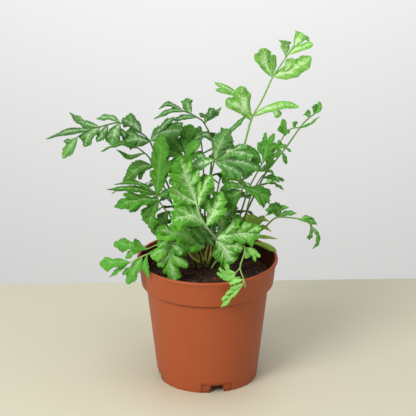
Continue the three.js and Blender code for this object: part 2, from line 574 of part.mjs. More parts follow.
// A frond that arches away from the crown: leaflets in pairs, and one at the tip.
const backFronds = [
  { bearing: 76, foot: 10.6, lean: 70, reach: 62, rise: 66, leaf: 25, color: midGreen },
  { bearing: 92, foot: 8.4, lean: 96, reach: 50, rise: 84, leaf: 24, color: deepGreen },
  { bearing: 104, foot: 11.6, lean: 118, reach: 66, rise: 52, leaf: 24, color: brightGreen },
  { bearing: 130, foot: 10.8, lean: 112, reach: 78, rise: 32, leaf: 22, color: midGreen },
  { bearing: 148, foot: 9.6, lean: 152, reach: 52, rise: 50, leaf: 20, color: deepGreen },
  { bearing: 56, foot: 13.4, lean: 52, reach: 66, rise: 44, leaf: 24, color: brightGreen },
];

function makeBackFrond({ bearing, foot, lean, reach, rise, leaf, color }, number) {
  const angle = THREE.MathUtils.degToRad(lean);
  const out = new THREE.Vector3(Math.cos(angle), Math.sin(angle), 0);
  const aside = new THREE.Vector3(-out.y, out.x, 0);
  const feet = footOf(bearing, foot, 0.9);
  const at = (share) => feet[1].clone()
    .addScaledVector(out, reach * share ** 1.5)
    .setZ(soilLevel + 1.5 + rise * Math.sin(share * 1.9) / Math.sin(1.57));
  const route = [...feet, ...[0.28, 0.5, 0.62, 0.76, 0.88, 1].map(at)];
  const parts = [tube(route, 0.9, 0.5, aside)];
  const up = () => new THREE.Vector3(0, 0, 1).addScaledVector(out, 0.7).normalize();
  const leaflet = (share, turn, length, half) => {
    const start = at(share);
    const heading = out.clone().multiplyScalar(Math.cos(turn)).addScaledVector(aside, Math.sin(turn));
    const middle = start.clone().addScaledVector(heading, length * 0.55);
    middle.z += length * 0.08;
    const tip = start.clone().addScaledVector(heading, length);
    tip.z -= length * 0.22;
    parts.push(blade([start, middle, tip], half, 3, up, { tilt: 0 }));
  };
  [[0.5, 1], [0.62, -1], [0.76, 0.95], [0.88, -0.8]].forEach(([share, turn]) => {
    leaflet(share, turn, leaf * (1.2 - share * 0.4), leaf * 0.2);
  });
  leaflet(0.99, 0.1, leaf * 1.1, leaf * 0.18);
  place(`frond_back_${number + 1}`, fuse(parts), color, 0.55);
}

// ---- Soil and crown ----

// The soil's top: a low mound with lumps, as a height above the soil level.
function soilLump(x, y) {
  const lumps = 0.9 * Math.sin(x * 0.31 + 1.3) * Math.cos(y * 0.27 - 0.4)
    + 0.6 * Math.sin(x * 0.13 - y * 0.42) + 0.4 * Math.cos(x * 0.55 + y * 0.2);
  return lumps * 0.8 - 0.0012 * (x * x + y * y);
}

function makeSoil() {
  const rings = [12, 26, 40];
  const sides = potSides;
  const wall = (z) => THREE.MathUtils.mapLinear(z, 2, 70, baseRadius, wallTopRadius) - wallThick - 0.5;
  const ringAt = (radius, height) => Array.from({ length: sides }, (_, side) => {
    const angle = side / sides * 2 * Math.PI;
    const [x, y] = [radius * Math.cos(angle), radius * Math.sin(angle)];
    return new THREE.Vector3(x, y, height ?? soilLevel + soilLump(x, y));
  });
  const edge = collarRadius - wallThick - 0.7;
  const levels = [
    ringAt(wall(floorTop) - 0.2, floorTop + clearance),
    ringAt(wall(collarFoot) - 0.4, collarFoot + 1.3),
    ringAt(edge - 0.2, collarFoot + 2.4),
    ringAt(edge, soilLevel - 2.4),
    ...rings.reverse().map((radius) => ringAt(radius)),
    ringAt(2),
  ];
  let body = ringBody(levels);
  holes.forEach(({ x, y, radius }) => {
    const wide = (radius + clearance) / Math.cos(Math.PI / 6);
    const hole = new THREE.CylinderGeometry(wide, wide, stalkSink * 4, 6)
      .rotateX(Math.PI / 2).translate(x, y, soilLevel + stalkSink - clearance);
    body = body.subtract(solid(hole));
  });
  const seatRadius = crownPlace.radius + clearance;
  const seat = new THREE.CylinderGeometry(seatRadius, seatRadius, 12, 12)
    .rotateX(Math.PI / 2).translate(crownPlace.x, crownPlace.y, soilLevel + 4 - clearance);
  body = body.subtract(solid(seat)).simplify(0.01);
  place('soil', body, '#3c2b1b', 0.95);
}

// The crown: a short scaly knob with the dry feet of old stalks on it.
function makeCrown() {
  const { x, y, radius } = crownPlace;
  const knob = solid(new THREE.LatheGeometry([
    [0, soilLevel - 2], [radius, soilLevel - 2], [radius, soilLevel + 1], [radius - 1, soilLevel + 3.4],
    [radius - 3, soilLevel + 5], [0, soilLevel + 5.6],
  ].map(([r, z]) => new THREE.Vector2(r, z)), 12).rotateX(Math.PI / 2).translate(x, y, 0));
  const stubs = [[-3.4, -2, 11, -0.3], [1.1, -3.6, 12, 0.1], [3.4, -0.8, 9, 0.3], [-0.8, 2.2, 12, 0.2]];
  const bodies = stubs.map(([dx, dy, height, slant]) => tube([
    new THREE.Vector3(x + dx, y + dy, soilLevel),
    new THREE.Vector3(x + dx * 1.05, y + dy * 1.05, soilLevel + height * 0.5),
    new THREE.Vector3(x + dx * 1.1 + slant * 4, y + dy * 1.1, soilLevel + height),
  ], 1, 0.7, new THREE.Vector3(1, 0, 0)));
  place('crown', fuse([knob, ...bodies]), '#5a3b22', 0.9);
}

backFronds.forEach(makeBackFrond);
makePot();
makeSoil();
makeCrown();

export default fern;
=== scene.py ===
# Potted fern: its looks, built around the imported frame. The scene is in metres; the tables of
# points and sizes below are in millimetres.
import json
import math
import random

import bmesh
import bpy
from mathutils import Matrix, Vector, noise


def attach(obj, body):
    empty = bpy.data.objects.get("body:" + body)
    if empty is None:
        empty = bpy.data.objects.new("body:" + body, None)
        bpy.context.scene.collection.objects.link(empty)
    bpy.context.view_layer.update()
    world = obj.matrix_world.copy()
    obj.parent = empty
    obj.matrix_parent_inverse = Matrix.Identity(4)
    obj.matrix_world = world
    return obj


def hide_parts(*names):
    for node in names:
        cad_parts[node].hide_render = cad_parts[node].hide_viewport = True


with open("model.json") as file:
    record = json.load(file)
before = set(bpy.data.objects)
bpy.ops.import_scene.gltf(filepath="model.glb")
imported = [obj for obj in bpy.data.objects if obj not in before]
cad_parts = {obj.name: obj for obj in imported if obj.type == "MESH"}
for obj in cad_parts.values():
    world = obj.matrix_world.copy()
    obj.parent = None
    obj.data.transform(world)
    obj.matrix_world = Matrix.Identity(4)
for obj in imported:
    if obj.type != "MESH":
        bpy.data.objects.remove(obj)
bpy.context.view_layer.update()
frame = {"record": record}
scene = bpy.context.scene
mm = 0.001
draws = random.Random(7)


view = {
    "eye": (0, -1.4059, 0.6594), "aim": (0, 0, 0.1365),
    "lens": 171.6, "sensor": 36, "shift": 0.0015,
}
stageSizes = {
    "floorBack": 0.186, "floorTilt": 2.2, "floorWidth": 6, "floorDepth": 3.2, "floorThick": 0.03,
    "floorEdge": 0.002, "wallAway": 2.6, "wallWidth": 8, "wallHeight": 6,
    "floorColor": (0.79, 0.758, 0.59), "wallColor": (0.84, 0.84, 0.84),
}
lights = [
    {"name": "keyLight", "at": (-0.95, -1.2, 1.15), "size": 0.9, "power": 24, "color": (1, 0.975, 0.94)},
    {"name": "fillLight", "at": (1.5, -1.5, 0.9), "size": 1.6, "power": 3, "color": (1, 0.99, 0.97)},
    {"name": "topLight", "at": (0.1, -0.1, 1.7), "size": 1.2, "power": 8, "color": (1, 1, 1)},
    {"name": "wallLight", "at": (0, 1.1, 0.55), "size": 1.2, "power": 27, "color": (1, 1, 1),
     "aim": (0, 2.6, -1.1)},
]
lightAim = (0, 0, 0.1)         # where a lamp without an aim of its own points
skyLight = {"Color": (1, 1, 1), "Strength": 0.27}


def turnTo(thing, aim):
    way = Vector(aim) - thing.location
    thing.rotation_euler = way.to_track_quat("-Z", "Y").to_euler()


def makeCamera():
    data = bpy.data.cameras.new("photoView")
    data.lens = view["lens"]
    data.sensor_width = view["sensor"]
    data.shift_x = view["shift"]
    camera = bpy.data.objects.new("photoView", data)
    scene.collection.objects.link(camera)
    camera.location = view["eye"]
    turnTo(camera, view["aim"])
    scene.camera = camera


def makeLights():
    for light in lights:
        data = bpy.data.lights.new(light["name"], "AREA")
        data.shape = "DISK"
        data.size = light["size"]
        data.energy = light["power"]
        data.color = light["color"]
        lamp = bpy.data.objects.new(light["name"], data)
        scene.collection.objects.link(lamp)
        lamp.location = light["at"]
        turnTo(lamp, light.get("aim", lightAim))
    world = bpy.data.worlds.new("studio")
    world.use_nodes = True
    setInputs(world.node_tree, world.node_tree.nodes["Background"], skyLight)
    scene.world = world
    scene.view_settings.view_transform = "Standard"
    scene.view_settings.look = "None"


def setInputs(tree, node, values):
    for socket, value in values.items():
        target = node.inputs[socket]
        if isinstance(value, bpy.types.NodeSocket):
            tree.links.new(value, target)
        else:
            target.default_value = (*value, 1) if target.type == "RGBA" else value


def addNode(tree, kind, values=None, **settings):
    node = tree.nodes.new(kind)
    for name, value in settings.items():
        setattr(node, name, value)
    setInputs(tree, node, values or {})
    return node.outputs


def calc(tree, operation, *values, clamp=False):
    given = dict(enumerate(values))
    return addNode(tree, "ShaderNodeMath", given, operation=operation, use_clamp=clamp)[0]


def mixColor(tree, share, first, second, blend="MIX"):
    given = {0: share, 6: first, 7: second}                # 6 and 7 are the node's two colours
    return addNode(tree, "ShaderNodeMix", given, data_type="RGBA", blend_type=blend)[2]


def scaleColor(tree, color, value):
    grey = addNode(tree, "ShaderNodeCombineColor", {"Red": value, "Green": value, "Blue": value})
    return mixColor(tree, 1.0, color, grey[0], "MULTIPLY")


def addNoise(tree, where, scale, detail, roughness=0.5):
    given = {"Vector": where, "Scale": scale, "Detail": detail, "Roughness": roughness}
    return addNode(tree, "ShaderNodeTexNoise", given)[0]


def objectPlace(tree):
    return addNode(tree, "ShaderNodeTexCoord")["Object"]


def splitVector(tree, vector):
    return addNode(tree, "ShaderNodeSeparateXYZ", {0: vector})


# How far the first value lies over the second, times a steepness, kept from 0 to 1.
def overBy(tree, first, second, steep):
    return calc(tree, "MULTIPLY", calc(tree, "SUBTRACT", first, second), steep, clamp=True)


def newGroup(name, inputs, outputs):
    tree = bpy.data.node_groups.new(name, "ShaderNodeTree")
    for side, sockets in (("INPUT", inputs), ("OUTPUT", outputs)):
        for label, kind in sockets.items():
            tree.interface.new_socket(label, in_out=side, socket_type="NodeSocket" + kind)
    return tree, tree.nodes.new("NodeGroupInput").outputs, tree.nodes.new("NodeGroupOutput")


def newMaterial(name, **surface):
    material = bpy.data.materials.new(name)
    material.use_nodes = True
    tree = material.node_tree
    shader = tree.nodes["Principled BSDF"]
    for socket, value in surface.items():
        shader.inputs[socket.replace("_", " ")].default_value = value
    return material, tree, shader


def addBump(tree, shader, height, strength, depth):
    given = {"Height": height, "Strength": strength, "Distance": depth * mm}
    setInputs(tree, shader, {"Normal": addNode(tree, "ShaderNodeBump", given)["Normal"]})


mottleShares = {"wide": 0.75, "fine": 0.45, "fineScale": 5.3, "middle": 0.6}


# Uneven colour at two scales, over any finish.
def makeMottle():
    tree, given, out = newGroup(
        "mottle",
        {"Color": "Color", "Place": "Vector", "Scale": "Float", "Amount": "Float"},
        {"Color": "Color", "Mask": "Float"},
    )
    wide = addNoise(tree, given["Place"], given["Scale"], 3.0, 0.6)
    fineScale = calc(tree, "MULTIPLY", given["Scale"], mottleShares["fineScale"])
    fine = addNoise(tree, given["Place"], fineScale, 2.0)
    wide = calc(tree, "MULTIPLY", wide, mottleShares["wide"])
    both = calc(tree, "MULTIPLY_ADD", fine, mottleShares["fine"], wide)
    lift = calc(tree, "SUBTRACT", both, mottleShares["middle"])
    lift = calc(tree, "MULTIPLY_ADD", lift, given["Amount"], 1.0)
    setInputs(tree, out, {"Color": scaleColor(tree, given["Color"], lift), "Mask": both})
    return tree


def addMottle(tree, mottle, color, scale, amount):
    given = {"Color": color, "Place": objectPlace(tree), "Scale": scale, "Amount": amount}
    return addNode(tree, "ShaderNodeGroup", given, node_tree=mottle)


leafMarks = {
    "strokes": {"broad": (1.2, 0.55, 2.0), "feather": (1.6, 1.35, 3.0), "fine": (5.0, 4.5, 2.0)},
    "streak": {"feather": 2.1, "broad": 0.8, "vein": 0.1}, "streakWidest": 0.3, "streakTaper": -1.7,
    "streakEdge": 2.2, "streakGrain": (1.2, 0.85),
    "green": {"broad": 0.9, "feather": 0.85, "fine": 0.5}, "marginShade": -0.12,
    "veinShift": 0.72, "veinFrom": 0.82, "veinEdge": 5.5, "veinShare": 0.2,
    "ribWidth": (-0.09, 0.125), "ribEdge": 20.0, "ribShare": (0.3, 0.16),
    "gloss": (0.35, 0.45), "veinDepth": -0.6, "ribHeight": 0.5, "fineHeight": 0.7,
}


# A leaf's own pattern. Across runs from -1 at one margin to 1 at the other, along from 0 at the
# foot to 1 at the tip, and the look holds the silver's strength, the tone and the count of side
# veins. A stroke's numbers are its scale across, its scale along and its detail, and a pair in
# leafMarks is a factor and what is then added.
def makeLeafPattern():
    tree, given, out = newGroup(
        "leafPattern",
        {"Place": "Vector", "Look": "Vector", "Leaf": "Color", "Silver": "Color", "Rib": "Color",
         "Spread": "Float"},
        {"Color": "Color", "Gloss": "Float", "Height": "Float"},
    )
    place = splitVector(tree, given["Place"])
    look = splitVector(tree, given["Look"])
    away = calc(tree, "ABSOLUTE", place["X"])
    along = place["Y"]
    row = calc(tree, "MULTIPLY", along, look["Z"])
    parts = {}
    for name, (across, rows, detail) in leafMarks["strokes"].items():
        where = addNode(tree, "ShaderNodeCombineXYZ", {
            "X": calc(tree, "MULTIPLY", place["X"], across),
            "Y": calc(tree, "MULTIPLY", row, rows), "Z": place["Z"],
        })
        parts[name] = calc(tree, "SUBTRACT", addNoise(tree, where[0], 1.0, detail, 0.62), 0.5)

    def addParts(start, shares):
        for name, share in shares.items():
            start = calc(tree, "MULTIPLY_ADD", parts[name], share, start)
        return start

    shifted = calc(tree, "ADD", row, leafMarks["veinShift"])
    wave = calc(tree, "COSINE", calc(tree, "MULTIPLY", shifted, 2 * math.pi))
    parts["vein"] = calc(tree, "MULTIPLY_ADD", wave, 0.5, 0.5)
    thin = overBy(tree, parts["vein"], leafMarks["veinFrom"], leafMarks["veinEdge"])
    lines = calc(tree, "MULTIPLY", thin, calc(tree, "SUBTRACT", 1.0, away, clamp=True))
    # the silvery streak along the midrib, feathered out along the side veins
    off = calc(tree, "SUBTRACT", along, leafMarks["streakWidest"])
    reach = calc(tree, "MULTIPLY_ADD", calc(tree, "MULTIPLY", off, off), leafMarks["streakTaper"], 1.0)
    reach = addParts(calc(tree, "MULTIPLY", given["Spread"], reach), leafMarks["streak"])
    streak = overBy(tree, reach, away, leafMarks["streakEdge"])
    grain = calc(tree, "MULTIPLY_ADD", parts["fine"], *leafMarks["streakGrain"])
    streak = calc(tree, "MULTIPLY", calc(tree, "MULTIPLY", streak, grain), look["X"], clamp=True)
    ribWidth = calc(tree, "MULTIPLY_ADD", along, *leafMarks["ribWidth"])
    rib = overBy(tree, ribWidth, away, leafMarks["ribEdge"])
    pale = calc(tree, "MAXIMUM", streak, calc(tree, "MULTIPLY", lines, leafMarks["veinShare"]), clamp=True)
    # light and dark over the green, deeper to the margin
    tone = addParts(look["Y"], leafMarks["green"])
    tone = calc(tree, "MULTIPLY_ADD", calc(tree, "MULTIPLY", away, away), leafMarks["marginShade"], tone)
    marked = mixColor(tree, pale, scaleColor(tree, given["Leaf"], tone), given["Silver"])
    ribShare = calc(tree, "MULTIPLY", rib, calc(tree, "MULTIPLY_ADD", look["X"], *leafMarks["ribShare"]))
    rise = calc(tree, "MULTIPLY", lines, leafMarks["veinDepth"])
    rise = calc(tree, "MULTIPLY_ADD", rib, leafMarks["ribHeight"], rise)
    setInputs(tree, out, {
        "Color": mixColor(tree, ribShare, marked, given["Rib"]),
        "Gloss": calc(tree, "MULTIPLY_ADD", parts["fine"], *leafMarks["gloss"]),
        "Height": calc(tree, "MULTIPLY_ADD", parts["fine"], leafMarks["fineHeight"], rise),
    })
    return tree


leafFinishes = {               # leaf, silver and rib colours, and how far the silver spreads
    "bright": ((0.113, 0.42, 0.03), (0.54, 0.84, 0.4), (0.74, 0.93, 0.6), 0.56),
    "mid": ((0.085, 0.325, 0.027), (0.34, 0.64, 0.24), (0.42, 0.68, 0.28), 0.2),
    "blue": ((0.09, 0.29, 0.05), (0.55, 0.78, 0.45), (0.72, 0.88, 0.6), 0.42),
    "deep": ((0.062, 0.228, 0.02), (0.25, 0.45, 0.16), (0.19, 0.38, 0.11), 0.14),
    "lime": ((0.21, 0.54, 0.085), (0.62, 0.88, 0.45), (0.74, 0.93, 0.56), 0.5),
    "aged": ((0.28, 0.46, 0.06), (0.3, 0.15, 0.045), (0.5, 0.52, 0.16), 0.42),
}


def makeLeafMaterials(pattern):
    made = {}
    for name, (leafColor, silver, rib, spread) in leafFinishes.items():
        material, tree, shader = newMaterial(name + "Leaf", Specular_IOR_Level=0.22)
        given = addNode(tree, "ShaderNodeGroup", {
            "Place": addNode(tree, "ShaderNodeAttribute", attribute_name="leafPlace")["Vector"],
            "Look": addNode(tree, "ShaderNodeAttribute", attribute_name="leafLook")["Vector"],
            "Leaf": leafColor, "Silver": silver, "Rib": rib, "Spread": spread,
        }, node_tree=pattern)
        setInputs(tree, shader, {"Base Color": given["Color"], "Roughness": given["Gloss"]})
        addBump(tree, shader, given["Height"], strength=0.5, depth=0.25)
        made[name] = material
    return made


stalkFinishes = {              # colours at the foot and higher up
    "green": ((0.16, 0.17, 0.028), (0.13, 0.3, 0.045)),
    "silver": ((0.16, 0.2, 0.035), (0.5, 0.72, 0.36)),
    "lime": ((0.14, 0.25, 0.04), (0.26, 0.5, 0.1)),
    "pale": ((0.3, 0.46, 0.12), (0.42, 0.68, 0.22)),
    "dark": ((0.055, 0.045, 0.012), (0.055, 0.15, 0.03)),
}
stalkBlend = {"from": 98.2, "over": 35.7}      # the height where it starts, and its length


# Stalks are duller and browner at the foot, greener higher up.
def makeStalkMaterials(mottle):
    made = {}
    for name, (low, high) in stalkFinishes.items():
        material, tree, shader = newMaterial(name + "Stalk", Roughness=0.5)
        height = splitVector(tree, objectPlace(tree))["Z"]
        share = overBy(tree, height, stalkBlend["from"] * mm, 1 / (stalkBlend["over"] * mm))
        spotted = addMottle(tree, mottle, mixColor(tree, share, low, high), scale=300.0, amount=0.7)
        setInputs(tree, shader, {"Base Color": spotted["Color"]})
        addBump(tree, shader, spotted["Mask"], strength=0.3, depth=0.1)
        made[name] = material
    return made


def finishMesh(name, bm, materials, sharp=60):
    bmesh.ops.recalc_face_normals(bm, faces=bm.faces)
    if bm.calc_volume(signed=True) < 0:
        bmesh.ops.reverse_faces(bm, faces=bm.faces)
    limit = math.radians(sharp)
    for edge in bm.edges:
        edge.smooth = edge.calc_face_angle(0) < limit
    for face in bm.faces:
        face.smooth = True
    mesh = bpy.data.meshes.new(name)
    bm.to_mesh(mesh)
    bm.free()
    for material in materials:
        mesh.materials.append(material)
    piece = bpy.data.objects.new(name, mesh)
    scene.collection.objects.link(piece)
    return piece


def addPiece(piece, slot, *nodes):
    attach(piece, "root")
    if nodes:
        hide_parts(*nodes)


def onCircle(radius, angle):
    return radius * math.cos(angle), radius * math.sin(angle)


def facesOf(verts):
    return list(dict.fromkeys(face for vert in verts for face in vert.link_faces))


def lengthOf(points):
    return sum((two - one).length for one, two in zip(points, points[1:]))


# Points at even distances along a smooth curve through the given ones, with directions.
def smoothPath(points, count, fine=12):
    knots = [2 * points[0] - points[1], *points, 2 * points[-1] - points[-2]]
    dense = [points[0]]
    for before, start, end, after in zip(knots, knots[1:], knots[2:], knots[3:]):
        for step in range(1, fine + 1):
            share = step / fine
            dense.append(0.5 * (
                2 * start + (end - before) * share
                + (2 * before - 5 * start + 4 * end - after) * share ** 2
                + (3 * start - before - 3 * end + after) * share ** 3
            ))
    reached = [0.0]
    for one, two in zip(dense, dense[1:]):
        reached.append(reached[-1] + (two - one).length)
    places = []
    spot = 0
    for step in range(count + 1):
        target = reached[-1] * step / count
        while spot < len(dense) - 2 and reached[spot + 1] < target:
            spot += 1
        gap = max(reached[spot + 1] - reached[spot], 1e-12)
        places.append(dense[spot].lerp(dense[spot + 1], (target - reached[spot]) / gap))
    ends = [(places[max(step - 1, 0)], places[min(step + 1, count)]) for step in range(count + 1)]
    return places, [(two - one).normalized() for one, two in ends]


def addTube(bm, points, startRadius, endRadius, material, sides=8, facing=(0.3, -1, 0.2), pitch=2.5):
    steps = max(round(lengthOf(points) / (pitch * mm)), 3)
    places, ways = smoothPath(points, steps)
    grid = bmesh.ops.create_grid(bm, x_segments=sides, y_segments=steps, size=1)["verts"]
    for vert in grid:
        angle = math.pi * (vert.co.x + 1)
        step = round((vert.co.y + 1) / 2 * steps)
        across = ways[step].cross(Vector(facing)).normalized()
        normal = across.cross(ways[step])
        radius = (startRadius + (endRadius - startRadius) * step / steps) * mm
        vert.co = places[step] + radius * (math.cos(angle) * normal + math.sin(angle) * across)
    for face in facesOf(grid):
        face.material_index = material
    bmesh.ops.remove_doubles(bm, verts=grid, dist=1e-7)
    left = [vert for vert in grid if vert.is_valid]
    rims = dict.fromkeys(edge for vert in left for edge in vert.link_edges if edge.is_boundary)
    for face in bmesh.ops.holes_fill(bm, edges=list(rims), sides=0)["faces"]:
        face.material_index = material


leafSizes = {                  # sizes in millimetres, counts and shares of the leaf's own size
    "thick": 0.32, "rows": 5, "columns": 12, "fewColumns": 8, "narrow": 2.5, "tipWidth": 0.25,
    "least": 0.06, "uneven": 0.3, "jitter": 0.9, "toothRise": 0.72, "plainFoot": 0.08,
    "fold": 0.3, "groove": 0.12, "droop": 0.4, "quilt": 0.03, "wave": 0.15, "crowd": 1.25,
    "ribFoot": 0.42, "ribTip": 0.12, "toneRange": (0.86, 1.12),
}
leafStyles = {
    "toothed": {"pitch": 2.2, "tooth": 1.15, "depth": 0.34, "blunt": 0.5, "slant": 0.85, "peak": 0.5},
    "coarse": {"pitch": 2.8, "tooth": 1.05, "depth": 0.24, "blunt": 0.62, "slant": 0.8, "peak": 0.45},
    "smooth": {"pitch": 2.7, "tooth": 0.35, "depth": 0.09, "blunt": 0.5, "slant": 0.85, "peak": 0.5},
    "sharp": {"pitch": 2.2, "tooth": 0.9, "depth": 0.3, "blunt": 0.85, "slant": 1.1, "peak": 0.42},
    "lacy": {"pitch": 2.6, "tooth": 1.7, "depth": 0.3, "blunt": 0.5, "slant": 0.9, "peak": 0.52},
}


# The half width at a share of the leaf's length, for one side: a rounded outline cut into lobes,
# and the lobes into teeth that lean to the tip.
def leafWidth(share, half, lobes, teeth, peak, hand, style, seed):
    least = leafSizes["tipWidth"] * mm
    if not 0 < share < 1:
        return least
    half *= 1 + leafSizes["uneven"] * noise.noise(Vector((share * lobes * 1.6, hand * 3, seed)))
    outline = math.sin(math.pi * share ** (math.log(0.5) / math.log(peak))) ** style["blunt"]
    within = (share * (lobes + 0.3) + 0.07 * hand) % 1
    notch = (1 - math.sin(math.pi * within ** 0.8)) ** 1.5
    lobed = 1.03 - style["depth"] * notch * (1.15 - 0.5 * share)
    shift = leafSizes["jitter"] * noise.noise(Vector((share * teeth * 0.6, hand * 5, seed)))
    tooth = (share * teeth + shift) % 1
    rise = leafSizes["toothRise"]
    saw = math.sin(math.pi / 2 * tooth / rise) if tooth < rise else (1 - tooth) / (1 - rise)
    grown = min(max((share - leafSizes["plainFoot"]) / 0.15, 0), 1)
    margin = grown * min(1, half / (4.5 * mm)) * min(1, outline * 1.2)
    cut = style["tooth"] * mm * (1 - saw) * margin
    return max(half * outline * lobed - cut, half * leafSizes["least"], least)


def addLeaf(bm, layers, midrib, half, lobes, facing, tilt, style, peak=None, silver=1.0, tone=1.0,
            sunk=0.0):
    teeth = max(round(lengthOf(midrib) / (style["pitch"] * mm)), 3)
    steps = teeth * leafSizes["rows"]
    columns = leafSizes["columns" if half > leafSizes["narrow"] * mm else "fewColumns"]
    places, ways = smoothPath(midrib, steps)
    turned = math.radians(tilt)
    real = half / math.cos(turned)
    middle = places[steps // 2]
    toward = facing(middle)
    phase = draws.uniform(0, 6.28)
    seed = draws.uniform(0, 50)
    tone *= draws.uniform(*leafSizes["toneRange"])
    side = 0
    frames = []
    for step, (place, way) in enumerate(zip(places, ways)):
        flat = (toward - way * toward.dot(way)).normalized()
        across = way.cross(flat)
        if not side:
            side = 1 if across.z + 0.25 * across.x * math.copysign(1, middle.x) >= 0 else -1
        normal = flat * math.cos(turned) + across * side * math.sin(turned)
        wide = across * math.cos(turned) - flat * side * math.sin(turned)
        widths = [leafWidth(step / steps, real, lobes, teeth, peak or style["peak"], hand, style, seed)
                  for hand in (-1, 1)]
        frames.append((place - normal * sunk, way, wide, normal, widths))
    grid = bmesh.ops.create_grid(bm, x_segments=columns, y_segments=steps, size=1)["verts"]
    for vert in grid:
        away = abs(vert.co.x) ** leafSizes["crowd"]
        out = math.copysign(away, vert.co.x)
        share = (vert.co.y + 1) / 2
        place, way, wide, normal, widths = frames[round(share * steps)]
        width = widths[0 if out < 0 else 1]
        groove = leafSizes["fold"] * away ** 2 / (away + leafSizes["groove"])
        lift = width * (groove - leafSizes["droop"] * away ** 2)
        lift += real * leafSizes["quilt"] * math.sin(math.pi * share * teeth) ** 2 * away * (1 - away) * 4
        swing = math.sin(share * (lobes + 0.35) * 6.28 + phase + math.copysign(1.2, out))
        lift += real * leafSizes["wave"] * away ** 2 * swing * math.sin(math.pi * share)
        ahead = style["slant"] * width * away ** 1.3 * (1 - share ** 3)
        vert.co = place + wide * (out * width) + normal * lift + way * ahead
        vert[layers[0]] = (out, share, seed)
        vert[layers[1]] = (silver, tone, teeth)
    bmesh.ops.solidify(bm, geom=facesOf(grid), thickness=leafSizes["thick"] * mm)
    deep = leafSizes["ribFoot"] + leafSizes["thick"] / 2
    under = [frame[0] - frame[3] * deep * mm for frame in frames[::leafSizes["rows"]]]
    addTube(bm, under, leafSizes["ribFoot"], leafSizes["ribTip"], 1, sides=6, facing=toward)


def newLeafMesh():
    bm = bmesh.new()
    layers = [bm.verts.layers.float_vector.new(name) for name in ("leafPlace", "leafLook")]
    return bm, layers


# Right and up are on the upright plane through the pot's axis, as the eye sees it, and toward is
# how far the point then moves along the line of sight to the eye.
def seen(point):
    onPlane = Vector((point[0], 0, point[1])) * mm
    return onPlane + (Vector(view["eye"]) - onPlane).normalized() * point[2] * mm


def toEye(point):
    return (Vector(view["eye"]) - point).normalized()


plant = {
    "soilLevel": 86, "stalkSink": 5, "stalkStart": 1.5, "crown": (-1, 12),
    "stalkRadius": (0.95, 0.5), "twigRadius": (0.55, 0.45),
    "tilt": 30, "tiltSwing": 16, "tiltStep": 2.4, "lobe": {"tilt": 8, "silver": 0.7, "sunk": 0.35},
}
nodeSlots = {part["node"]: part["material_slot"] for part in frame["record"]["subparts"]}
tones = {                      # leaf finish, stalk finish, leaf style, silver, light or dark
    "deepGreen": ("deep", "dark", "toothed", 0.8, 1.0),
    "blueGreen": ("blue", "dark", "toothed", 0.95, 1.06),
    "greyGreen": ("blue", "dark", "coarse", 0.5, 0.78),
    "midGreen": ("mid", "green", "toothed", 0.8, 0.97),
    "grassGreen": ("mid", "green", "toothed", 0.6, 1.22),
    "brightGreen": ("bright", "green", "toothed", 1.0, 1.0),
    "silverGreen": ("bright", "silver", "toothed", 1.0, 1.0),
    "freshGreen": ("mid", "pale", "toothed", 0.6, 1.22),
    "shadeGreen": ("mid", "green", "toothed", 1.0, 1.3),
    "duskGreen": ("blue", "dark", "coarse", 0.5, 0.72),
    "limeGreen": ("lime", "lime", "smooth", 0.9, 1.0),
    "paleGreen": ("lime", "pale", "lacy", 0.25, 1.12),
    # the last number here, 1.35, is painted light: it lifts leaves that sit in shade behind the others
    "oliveGreen": ("aged", "green", "toothed", 0.5, 1.35),
}


# The half width, the count of lobes and the midrib from the stalk to the tip. A point is right,
# up and toward.
def leaf(half, lobes, *points, **look):
    return {"half": half, "lobes": lobes, "points": points, **look}


# A small leaf that grows out of the side of a larger one, and lies a little lower.
def lobe(half, *points):
    return leaf(half, 1, *points, **plant["lobe"])


